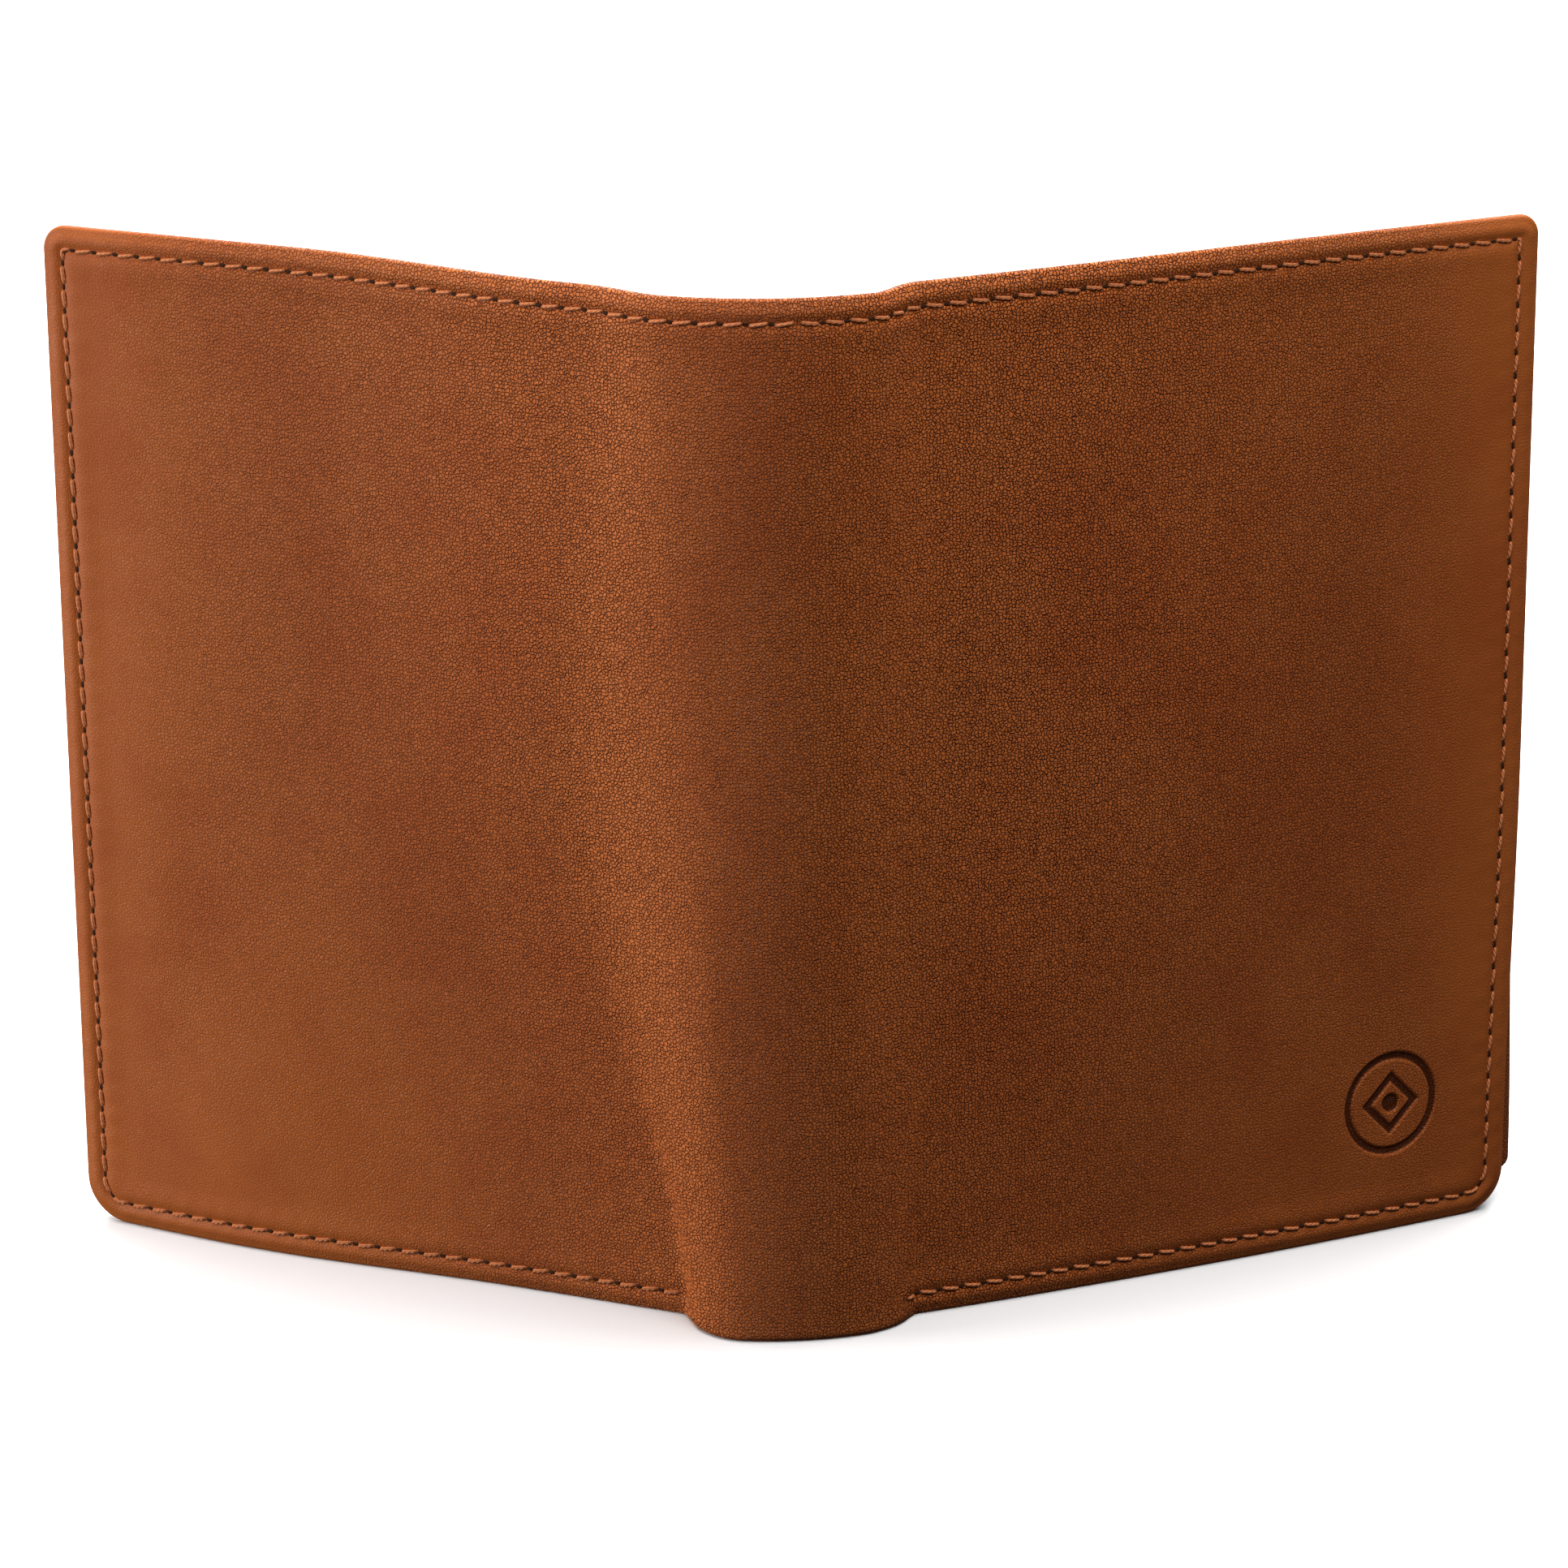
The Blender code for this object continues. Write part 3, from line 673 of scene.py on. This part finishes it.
def stitches(name, route, place, seam, hand=1):
    """A sewn line on a sheet's front: raised slanting stitches, and between each two a dark body painted with
    a needle hole's shade.

    Where hand is -1, the stitches slant the other way.
    """
    pitch, radius, groove, slant, share = seam
    slant *= hand
    route = resample(np.array(route), 1200)
    surface = place(route[:, 0], route[:, 1], np.full(len(route), groove))
    above = place(route[:, 0], route[:, 1], np.full(len(route), groove - 0.1 * MM))
    along = run_length(surface)
    up = unit(above - surface)

    def read(values, at):
        return np.stack([np.interp(at, along, values[:, k]) for k in range(3)], -1)

    count = max(1, round(along[-1] / pitch))
    pitch = along[-1] / count
    middle = (np.arange(count) + 0.5) * pitch
    tau = np.linspace(-1, 1, 9)
    at = middle[:, None] + tau[None, :] * pitch * share / 2
    centres, normals = read(surface, at), read(up, at)
    tangents = unit(np.gradient(centres, axis=1))
    lateral = np.cross(tangents, normals)
    rise = (0.62 - 0.95 * np.abs(tau) ** 3.2) * radius
    centres = centres + normals * rise[None, :, None] + lateral * (tau * slant)[None, :, None]
    radii = radius * np.sqrt(np.clip(1.02 - np.abs(tau) ** 6 * 0.55, 0.05, 1))
    points, faces, flat = tubes(centres, tangents, normals, radii)
    # A dark body at each needle hole between stitches: painted shade for the hole's dark inside.
    holes_at = np.arange(1, count) * pitch
    hole, hole_up = read(surface, holes_at)[:, None], read(up, holes_at)[:, None]
    ahead = unit(read(surface, holes_at + 0.05 * MM) - read(surface, holes_at - 0.05 * MM))[:, None]
    span = np.array([-1, -0.8, -0.35, 0.35, 0.8, 1.0])
    line = hole + ahead * (span * 0.5 * MM)[None, :, None] - hole_up * 0.19 * MM
    hole_radii = 0.33 * MM * np.sqrt(1.02 - span**2)
    hole_points, hole_faces, hole_flat = tubes(line, ahead, hole_up, hole_radii)
    obj = build_mesh(
        name,
        np.concatenate([points, hole_points]),
        np.concatenate([faces, hole_faces + len(points)]),
        np.concatenate([flat, hole_flat]),
    )
    dress(obj, "seam_thread")
    obj.data.materials.append(NEEDLE_HOLE_SHADE)
    is_hole = np.zeros(len(obj.data.polygons), np.int32)
    is_hole[len(faces) :] = 1
    obj.data.polygons.foreach_set("material_index", is_hole)
    return obj


# ---- the cover
LEFT_OVER = 1.0 * MM  # the left half of the cover is cut a little wider
COVER_BOX = (-EDGE_X / COS - LEFT_OVER, EDGE_X / COS - 0.5 * MM, 0, HEIGHT)
COVER_RADII = (5.5 * MM, 5.5 * MM, 2.6 * MM, 3 * MM)
SEAM_ENDS = (-14.3 * MM, 12.1 * MM)  # the low seams stop here, on either side of the spine
SIDES = ((-1, "left"), (1, "right"))


def fold_blend(obj, side):
    """Bakes a piece's transform into its mesh, alike for either side."""
    if side < 0:
        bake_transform(obj)
    else:
        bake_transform(obj)


def seam_mask(p, z):
    """1 where the cover is sewn, and 0 along the spine's bottom edge."""
    x = p * COS
    left, right = SEAM_ENDS
    on_spine = smooth(x, left - 1 * MM, left + 1 * MM) * (1 - smooth(x, right - 1 * MM, right + 1 * MM))
    return 1 - on_spine * (z < 20 * MM)


def stamp(p, z):
    """The debossed mark's pattern: 1 in the grooves of a ring, a diamond inside it and a round dot."""
    across, up = p - STAMP_P, z - STAMP_Z
    ring = np.abs(np.hypot(across, up) - STAMP_RING)
    diamond = np.abs(np.abs(across) + np.abs(up) - STAMP_DIAMOND) / math.sqrt(2)
    dot = np.maximum(np.hypot(across, up) - STAMP_DOT, 0)
    nearest = np.minimum(np.minimum(ring, diamond), dot)
    return 1 - smooth(nearest, STAMP_LINE / 2, STAMP_LINE / 2 + 0.25 * MM)


def cover_relief(p, z, d):
    """How far the leather stands out: the seam's groove, its padding, puckers at the folds and soft waves."""
    x = p * COS
    sewn = seam_mask(p, z)
    along = np.where(np.minimum(z, HEIGHT - z) - (COVER_BOX[1] - np.abs(p)) < 0, p, z)
    pull = 0.5 + 0.5 * np.cos(2 * math.pi * along / STITCH_PITCH)
    seam = -0.26 * hump(d, SEAM_INSET, 0.5 * MM) + (0.16 + 0.05 * pull) * hump(d, 1.5 * MM, 0.65 * MM)
    seam = seam + (0.10 + 0.05 * pull) * hump(d, 4.4 * MM, 1.1 * MM)
    left, right = fold_lines(z)
    puckers = 0
    for edge, wave in ((left, 1.0), (right, -1.0)):
        near = hump(x, edge - wave * 1.2 * MM, 2.6 * MM) * np.exp(-z / (17 * MM))
        puckers = puckers + near * np.sin(2 * math.pi * (0.45 * z + wave * (x - edge)) / (2.3 * MM)) * 0.05
    waves = (
        0.22 * np.sin(p / (13 * MM) + 1.3) * np.sin(z / (17 * MM) + 0.4)
        + 0.13 * np.sin(p / (7.1 * MM) - z / (9.3 * MM) + 2.1)
        + 0.07 * np.sin(p / (3.9 * MM) + z / (5.7 * MM))
    )
    pressed = 0.32 * stamp(p, z) + 0.06 * (np.hypot(p - STAMP_P, z - STAMP_Z) < STAMP_RING)
    rolled = -0.42 * (1 - np.clip(d / (3 * MM), 0, 1)) ** 2
    return (sewn * (seam + rolled) + puckers + 0.5 * waves * smooth(d, 1 * MM, 9 * MM) - pressed) * MM


def hem_thickness(d):
    """The leather is turned in round the edge, so the rim is thicker."""
    return (1.1 + 0.65 * (1 - smooth(d, 7.5 * MM, 8.5 * MM))) * MM


def build_cover():
    ends = mm((0, 0.05, 0.2, 0.45, 0.75, 1.1, 1.5, 1.9, 2.2, 2.5, 2.8, 3.1, 3.4, 3.8, 4.3, 5, 6))
    near = STAMP_RING + 1 * MM
    fine = tuple((at - near, at + near, 0.2 * MM) for at in (STAMP_P - COVER_BOX[0], STAMP_Z))
    grid = Grid(COVER_BOX, COVER_RADII, cover_point, hem_thickness, cover_relief, 0.75 * MM, ends, fine=fine)
    replaced = (("cover_left", "cover_spine"), ("cover_right",))
    for side, obj, nodes in zip((-1, 1), grid.halves("cover_skin"), replaced):
        x, _, z = np.array([v.co for v in obj.data.vertices]).T
        # Two point attributes: the grain's smoothness, and where a highlight is painted on.
        for measure in (smoothness, painted_highlight):
            attribute = obj.data.attributes.new(measure.__name__, "FLOAT", "POINT")
            attribute.data.foreach_set("value", measure(x, z).astype(np.float32))
        dress(obj, "cover_leather")
        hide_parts(*nodes)
        fold_blend(obj, side)


def build_cover_seam():
    route = outline_route(COVER_BOX, COVER_RADII, SEAM_INSET)
    inset_z = HEIGHT - SEAM_INSET
    quarter = len(route) // 4
    left_crease, right_crease = (x / COS for x in SEAM_ENDS)
    halves = {
        -1: [(0, inset_z), *route[: 2 * quarter], (left_crease, SEAM_INSET)],
        1: [(0, inset_z), *route[: 2 * quarter - 1 : -1], (right_crease, SEAM_INSET)],
    }
    for side, word in SIDES:
        obj = stitches(f"cover_stitches_{word}", halves[side], cover_point, COVER_SEAM, hand=side)
        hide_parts(f"seam_{word}", "seam_spine_top")
        fold_blend(obj, side)


build_cover()
build_cover_seam()


# ---- the shell's inner layers
def build_shell_layer(name, face, edge, thickness, slot, node, middle_node):
    """A sheet across both halves: two pieces that meet in the middle of the spine."""
    z0, z1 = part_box(f"{node}_right")[0].z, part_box(f"{node}_right")[1].z
    reach = HALF_SPINE / COS + edge
    grid = Grid((-reach, reach, z0, z1), (2 * MM,) * 4, across_both(face), thickness, cell=1.6 * MM)
    pieces = grid.halves(name)
    for (side, word), obj in zip(SIDES, pieces):
        dress(obj, slot)
        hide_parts(f"{node}_{word}", *([middle_node] if side < 0 else []))
        fold_blend(obj, side)
    return pieces, reach, z1 - z0


def inside_of(gap):
    """The depth of a face that keeps a gap to the cover's outer face, and so rounds off its inner corners."""
    offsets = np.linspace(-gap, gap, 13)

    def face(x, z):
        return np.max([cover_y(x + dx, z) + math.sqrt(gap**2 - dx**2) for dx in offsets], axis=0)

    return face


def inner_y(x, z):
    """The inner panels' hidden face: flat on both halves, lifted a little across the spine."""
    halves = TAN * np.sqrt(x**2 + NOSE**2) + bow(x, z)
    return APEX_Y + halves + 3.2 * MM / COS + 3.9 * MM * hump(x, 0, 9 * MM)


def build_shell():
    linings, reach, tall = build_shell_layer(
        "lining_cloth", inside_of(2.1 * MM), 79 * MM, 0.3 * MM, "textile", "lining", "lining_spine"
    )
    for (side, word), obj in zip(SIDES, linings):
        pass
    build_shell_layer(
        "inner_panel_skin", inner_y, 80 * MM, 0.6 * MM, "inner_leather", "inner_panel", "inner_spine_strip"
    )
    start = HALF_SPINE / COS + 12 * MM
    for side, word in SIDES:
        box = (*sorted((side * start, side * (start + 58 * MM))), 11 * MM, 114 * MM)
        grid = Grid(box, (3 * MM,) * 4, across_both(inside_of(1.45 * MM)), 0.4 * MM)
        board = dress(grid.mesh(f"board_{word}"), "board")
        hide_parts(f"stiffener_{word}")
        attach(board, f"{word}_half")


# ---- flat pieces inside the halves
EDGE_LINE = 1.3 * MM  # a warm iron draws a line this far in from each open edge


def edge_line(side="all", box=None):
    """A relief with an ironed line along all edges, the top or the mouth, and thin leather's unevenness."""

    def relief(p, z, d):
        if side == "top":
            d = box[3] - z
        elif side == "mouth":
            d = p - box[0]
        waves = 0.05 * np.sin(p / (11 * MM) + 0.7) * np.sin(z / (9 * MM) + 1.1)
        return (waves * smooth(d, 2 * MM, 8 * MM) - 0.10 * hump(d, EDGE_LINE, 0.28 * MM)) * MM

    return relief


def flat_piece(
    name, side, box, top, thickness, radii, slot, body, node, relief="all", lean=None, cell=1.8
):
    """A flat piece of one half, in millimetres; top is the level of its visible face.

    relief is a function, None, or where the ironed line runs: all, top or mouth.
    """
    box, radii = mm(box), mm(radii)
    shape = edge_line(relief, box) if isinstance(relief, str) else relief
    # Columns run along u, so the visible faces of the right half are the mirrored ones.
    place = inside_face(side, top * MM, lean)
    grid = Grid(box, radii, place, thickness * MM, shape, cell * MM, mirror=side > 0)
    obj = dress(grid.mesh(name), slot)
    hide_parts(node)
    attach(obj, body)
    return obj


def sewn(name, route, place, body, node):
    """A seam on one of the pieces inside the halves."""
    obj = stitches(name, route, place, INNER_SEAM)
    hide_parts(node)
    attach(obj, body)


def three_sides(route, top):
    """The part of an outline's route that runs down from top on the left, along the foot and up again."""
    quarter = len(route) // 4
    low = route[quarter : 3 * quarter]
    return [(low[0][0], top), *low, (low[-1][0], top)]


# ---- the left half: slip pocket and coin pocket
SNAP_U, SNAP_Z = 43, 50


def pillow(p, z, d):
    """The coin pocket's front is a little full in the middle and tighter along its seam."""
    line = 0.10 * hump(d, EDGE_LINE, 0.28 * MM) + 0.12 * hump(d, 2.6 * MM, 0.5 * MM)
    from_snap = np.hypot(p - SNAP_U * MM, z - SNAP_Z * MM)
    full = 0.55 * smooth(d, 2 * MM, 22 * MM) * (1 - hump(from_snap, 0, 9 * MM))
    wrinkle = 0.08 * np.sin(p / (5.3 * MM) + 1) * np.sin(z / (7.7 * MM)) * smooth(d, 3 * MM, 12 * MM)
    return (full + wrinkle - line) * MM


def swept_strip(name, stations, section, thickness, place):
    """A strip with the given centre section, swept along stations; place gives the point of each pair."""
    centre = resample(np.array(section), 40)
    tangent = unit(np.gradient(centre, axis=0))
    square = np.stack([-tangent[:, 1], tangent[:, 0]], -1)
    half = thickness / 2
    turn = np.linspace(math.pi / 2, -math.pi / 2, 7)[1:-1]
    cap = [centre[-1] + half * (math.sin(a) * square[-1] + math.cos(a) * tangent[-1]) for a in turn]
    start = [centre[0] + half * (math.sin(a) * square[0] - math.cos(a) * tangent[0]) for a in turn[::-1]]
    loop = np.concatenate([centre + half * square, cap, (centre - half * square)[::-1], start])
    count = len(loop)
    points = np.array([[place(station, a, b) for a, b in loop] for station in stations])
    ids = np.arange(len(stations) * count).reshape(-1, count)
    quads = ring_quads(ids[:-1], ids[1:])
    across, run = run_length(loop), run_length(points[:, 0])
    flat = np.stack(np.broadcast_arrays(across[None], run[:, None]), -1).reshape(-1, 2)
    return closed(build_mesh(name, points.reshape(-1, 3), quads, flat), 50)


def build_gusset():
    """The bellows between the pocket's back and front: one strip round three sides, folded inwards."""
    box = mm((10.3, 75.7, 7.8, 69.3))
    route = three_sides(outline_route(box, (5 * MM,) * 4, 0), box[3])
    path = resample(np.array(route) / MM, 150)
    ahead = unit(np.gradient(path, axis=0))
    inward = np.stack([-ahead[:, 1], ahead[:, 0]], -1)
    section = [(0.2, 5.75), (0.1, 6.4), (1.2, 7.4), (2.6, 8.35), (2.8, 8.6), (2.6, 8.85), (1.2, 9.8)]
    section += [(0.1, 10.8), (0.2, 11.5)]

    def place(station, inset, level):
        (u, z), (nu, nz) = station
        return half_point(-1, u + inset * nu, level, z + inset * nz)

    obj = swept_strip("coin_pocket_bellows", list(zip(path, inward)), section, 0.45, place)
    dress(obj, "inner_leather")
    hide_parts("coin_pocket_gusset")
    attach(obj, "left_half")
    half_point(-1, 43, 5.5, 40)
    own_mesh(obj)


def flap_path():
    """The flap's centre line as (w, z) in millimetres: out of the pocket, over its top and down the front."""
    rising, falling = np.linspace(0.1, math.pi / 2, 7), np.linspace(0, math.pi / 2, 7)
    points = [(5.75, 60.0), (5.75, 70.9)]
    points += [(8.05 - 2.3 * math.cos(a), 71.1 + 2.3 * math.sin(a)) for a in rising]
    points += [(11.9 + 2.3 * math.sin(a), 71.1 + 2.3 * math.cos(a)) for a in falling]
    return [*points, (14.2, 66.0), (14.2, 42.0)]


def build_flap():
    """One sheet of leather over the whole path; its low corners are round and its edge is ironed and sewn."""
    path = resample(np.array(flap_path()) * MM, 400)
    length = run_length(path)[-1]
    along = np.linspace(0, length, len(path))
    tangent = unit(np.gradient(path, axis=0))

    def place(u, s, depth):
        at = length - s
        w, z = np.interp(at, along, path[:, 0]), np.interp(at, along, path[:, 1])
        tw, tz = np.interp(at, along, tangent[:, 0]), np.interp(at, along, tangent[:, 1])
        off = 0.3 * MM - depth
        return at_level(-1, u, w - off * tz, z + off * tw)

    box = (10 * MM, 76 * MM, 0, length)
    radii = mm((9, 9, 1, 1))
    grid = Grid(box, radii, place, 0.6 * MM, edge_line(), 1.1 * MM)
    obj = dress(grid.mesh("coin_flap_skin"), "inner_leather")
    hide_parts("coin_flap")
    start, end = (half_point(-1, SNAP_U, w, SNAP_Z) for w in (7.4, 9.2))
    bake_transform(obj)
    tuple(start)
    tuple(end)
    route = three_sides(outline_route(box, radii, 2 * MM), 31 * MM)
    sewn("coin_flap_stitches", route, place, "coin_flap", "coin_flap_seam")


def turned(name, profile, body, node):
    """A round snap part: a profile of (radius, w) in millimetres, turned about the snap's axis."""
    profile = np.array(profile) * MM
    turn = np.linspace(0, 2 * math.pi, 48, endpoint=False)
    u, z = profile[:, :1] * np.cos(turn), profile[:, :1] * np.sin(turn)
    w = np.repeat(profile[:, 1:], len(turn), 1)
    points = u[..., None] * (-COS, SIN, 0) + w[..., None] * (SIN, COS, 0) + z[..., None] * (0, 0, 1)
    points = half_point(-1, SNAP_U, 0, SNAP_Z) + points
    ids = np.arange(u.size).reshape(u.shape)
    flat = np.stack([u, z], -1).reshape(-1, 2) + (SNAP_U * MM, SNAP_Z * MM)
    obj = closed(build_mesh(name, points.reshape(-1, 3), ring_quads(ids[:-1], ids[1:]), flat), 40)
    dress(obj, "snap_metal")
    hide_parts(node)
    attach(obj, body)


def build_snap():
    """The press stud. The cap and socket ride the flap, and the stud and rivet ride the pocket's front."""
    arc = np.linspace(0.02, math.pi / 2, 14)
    dome = [(5.5 * math.sin(a), 14.45 + 1.1 * math.cos(a)) for a in arc]
    rim = [(5.62, 14.5), (5.5, 14.42), (1.2, 14.42), (1.2, 13.75), (0.02, 13.75)]
    turned("snap_cap_dome", dome + rim, "coin_flap", "snap_cap")
    socket = [(1.75, 13.72), (4.3, 13.72), (4.6, 13.5), (4.6, 13.3), (4.3, 13.1), (3.6, 13.15), (3.3, 13.35)]
    socket += [(2.4, 13.3), (2.1, 13.0), (1.85, 13.0), (1.75, 13.2), (1.75, 13.72)]
    turned("snap_socket_ring", socket, "coin_flap", "snap_socket")
    stud = [(0.02, 13.35), (0.9, 13.3), (1.35, 13.1), (1.45, 12.95), (1.3, 12.8), (1.25, 12.65)]
    stud += [(3.4, 12.6), (3.9, 12.5), (4.0, 12.42), (3.9, 12.36), (0.6, 12.36)]
    turned("snap_stud_post", stud, "coin_front", "snap_stud")
    rivet = [(0.5, 12.3), (0.5, 11.7), (3.6, 11.7), (3.9, 11.6), (3.9, 11.5), (3.5, 11.35)]
    rivet += [(2.0, 11.28), (0.02, 11.25)]
    turned("snap_rivet_back", rivet, "coin_front", "snap_rivet")


def build_left():
    hide, body = "inner_leather", "left_half"
    box, radii = (5.5, 79, 3.5, 104), (2, 4, 1, 1)
    flat_piece("slip_pocket_skin", -1, box, 4.7, 0.7, radii, hide, body, "slip_pocket_left", "top")
    box, radii = (8, 78, 6, 72.6), (4, 4, 1, 1)
    flat_piece("coin_back_skin", -1, box, 5.4, 0.5, radii, hide, body, "coin_pocket_back")
    box, radii, body = (9, 77, 6.5, 70.5), (6, 6, 1, 1), "coin_front"
    flat_piece("coin_front_skin", -1, box, 12.3, 0.5, radii, hide, body, "coin_pocket_front", pillow, cell=1.3)
    route = three_sides(outline_route(mm(box), mm(radii), 2.6 * MM), box[3] * MM)
    sewn("coin_front_stitches", route, inside_face(-1, 12.25 * MM), body, "coin_pocket_seam")
    build_gusset()
    build_flap()
    build_snap()


# ---- the right half: card slots and swinging leaf
LEAF_BOX = (7.8, 84.5, 2, 118)
LEAF_RADII = (1, 1.5, 4, 1)
SLOTS = ((10, 5.1), (19, 5.9), (28, 6.7))  # each card slot's mouth and level


def leaf_lean(u, z):
    """The leaf's free low corner: it is cut a little longer there, and it settles towards the cover."""
    corner = smooth(u, 66 * MM, 86 * MM) * (1 - smooth(z, 4 * MM, 40 * MM))
    return 0.35 * MM * corner, 0.7 * MM * corner


def build_leaf():
    hide, leaf = "inner_leather", "centre_leaf"
    for node, top in (("leaf_back", 8.2), ("leaf_front", 9.4)):
        flat_piece(f"{node}_skin", 1, LEAF_BOX, top, 0.7, LEAF_RADII, hide, leaf, node, lean=leaf_lean)
    box, radii = (10.3, 82, 7, 115.5), (1, 3, 3, 1)
    flat_piece("leaf_core_board", 1, box, 8.65, 0.4, radii, "board", leaf, "leaf_core", lean=leaf_lean)
    box, radii = (16, 74, 14, 106), (2, 2, 2, 2)
    flat_piece("id_window_film", 1, box, 9.75, 0.2, radii, "clear_film", leaf, "id_window")
    frame_piece = ring_sheet("id_frame_skin", (14, 76, 12, 108), (22, 68, 20, 100), 3, 10.5, 0.6)
    dress(frame_piece, hide)
    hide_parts("id_window_frame")
    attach(frame_piece, leaf)
    route = outline_route(mm(LEAF_BOX), mm(LEAF_RADII), 1.9 * MM)
    sewn("leaf_stitches", [*route, route[0]], inside_face(1, 9.35 * MM, leaf_lean), leaf, "leaf_seam")


def filled_loop(box, radius, inset):
    """Points round a rounded box in millimetres, as many on each straight side whatever the inset."""
    steps, side_steps = 9, 24
    corners = np.array(outline_route(mm(box), (radius * MM,) * 4, inset * MM, steps))
    filled = []
    for k, (start, end) in enumerate(zip(corners, np.roll(corners, -1, 0))):
        filled.extend(np.linspace(start, end, side_steps if (k + 1) % steps == 0 else 1, endpoint=False))
    return np.array(filled)


def ring_sheet(name, outer, inner, radius, top, thickness):
    """A flat frame on the right half, in millimetres: an outline with a window, both edges rounded over."""
    rim = thickness / 2
    samples = [0, 0.04, 0.15, 0.35, 0.7, 1.0, 1.3, 1.6, 2.4]
    rings = [(filled_loop(outer, radius, e), e) for e in samples]
    rings += [(filled_loop(inner, radius, -e), e) for e in samples[::-1]]
    layers = []
    for back in (False, True):
        for points, e in rings[::-1] if back else rings:
            round_off = rim - math.sqrt(max(rim**2 - (rim - min(e, rim)) ** 2, 0))
            groove = 0.1 * math.exp(-(((e - 1.0) / 0.3) ** 2))
            layers.append((points, thickness - round_off if back else round_off + groove))
    count = len(layers[0][0])
    flat = np.concatenate([points for points, depth in layers])
    depth = np.repeat([depth for points, depth in layers], count) * MM
    points = inside_face(1, top * MM)(flat[:, 0], flat[:, 1], depth)
    ids = np.arange(len(points)).reshape(-1, count)
    obj = build_mesh(name, points, ring_quads(ids, np.roll(ids, -1, 0)), flat)
    return closed(obj, 50, weld=True)


def build_leaf_hinge():
    """The strip that the leaf swings on: sewn flat to the inner panel, then up and into the leaf's edge."""
    arc = np.linspace(0.2, math.pi / 2, 6)
    section = [(9.0, 4.15), (6.8, 4.15)]
    section += [(6.4 - 1.0 * math.sin(a), 5.15 - 1.0 * math.cos(a)) for a in arc]
    section += [(5.4, 6.2), (5.4, 7.25)]
    section += [(6.6 - 1.2 * math.cos(a), 7.25 + 1.2 * math.sin(a)) for a in arc]
    section += [(8.0, 8.45), (10.0, 8.45)]

    def place(z, u, level):
        return half_point(1, u, level, z)

    obj = swept_strip("leaf_hinge_fold", np.linspace(6, 116, 90), section, 0.42, place)
    dress(obj, "inner_leather")
    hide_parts("leaf_hinge_strip")
    half_point(1, 6.9, 6.0, 60)
    half_point(1, 6.9, 8.3, 60)
    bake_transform(obj)


def build_right():
    body = "right_half"
    box = (9.6, 78.5, 9, 110)
    cloth = flat_piece(
        "slot_lining_cloth", 1, box, 4.3, 0.25, (1, 1, 1, 1), "textile", body, "slot_lining_right", relief=None
    )
    for number, (mouth, top) in enumerate(SLOTS, 1):
        box, node = (mouth, 78.5, 8, 111), f"card_slot_right_{number}"
        name = f"card_slot_skin_{number}"
        flat_piece(name, 1, box, top, 0.55, (1, 3, 3, 1), "inner_leather", body, node, "mouth")
    route = np.array([(29.5, 109), (76.5, 109), (76.5, 10), (29.5, 10)]) * MM
    sewn("card_slot_stitches", route, inside_face(1, 6.7 * MM), body, "card_slot_seam")
    build_leaf_hinge()
    build_leaf()


build_shell()
build_left()
build_right()


# ---- floor, camera and light
def build_stage():
    """A pale floor, a hair under the wallet's foot, which throws no light back at it."""
    bpy.ops.mesh.primitive_plane_add(size=8, location=(0, 0, -0.02 * MM))
    floor = bpy.context.object
    floor.name = "studio_floor"
    floor.data.materials.append(Nodes("studio_floor", (0.93, 0.93, 0.93), 0.75).material)
    floor.visible_diffuse = False
    floor.visible_glossy = False


def area_light(name, place, target, size, watts):
    data = bpy.data.lights.new(name, "AREA")
    data.shape = "RECTANGLE"
    data.size, data.size_y = size
    data.energy = watts
    lamp = bpy.data.objects.new(name, data)
    lamp.location = place
    lamp.visible_camera = False
    lamp.rotation_euler = (Vector(target) - Vector(place)).to_track_quat("-Z", "Y").to_euler()
    bpy.context.scene.collection.objects.link(lamp)


def build_lights():
    target = (0, 0, 0.06)
    area_light("side_key", (-0.95, -0.12, 0.13), target, (0.3, 0.35), 10.2)
    area_light("front_top", (0.09, -0.27, 0.45), (0.01, -0.01, 0.065), (0.38, 0.25), 1.75)
    area_light("overhead", (0.05, 0.35, 1.1), (0, 0.1, 0), (1.2, 0.9), 32)
    area_light("back_fill", (-0.1, 0.75, 0.5), target, (0.6, 0.4), 6)
    world = bpy.data.worlds.new("studio")
    bpy.context.scene.world = world
    world.use_nodes = True
    background = world.node_tree.nodes["Background"]
    background.inputs["Color"].default_value = (1, 1, 1, 1)
    background.inputs["Strength"].default_value = 0.06


def build_camera():
    """The photo's view: at the spine from about 0.65 m, 18.2 degrees down, through a long lens."""
    data = bpy.data.cameras.new("camera")
    data.sensor_width = 36
    data.lens = 130.8
    camera = bpy.data.objects.new("camera", data)
    camera.location = (-0.0004, APEX_Y - 0.6143, 0.2704)
    camera.rotation_euler = (math.radians(90 - 18.2), math.radians(0.42), 0)
    bpy.context.scene.collection.objects.link(camera)
    bpy.context.scene.camera = camera


build_stage()
build_lights()
build_camera()
bpy.context.scene.view_settings.view_transform = "Standard"
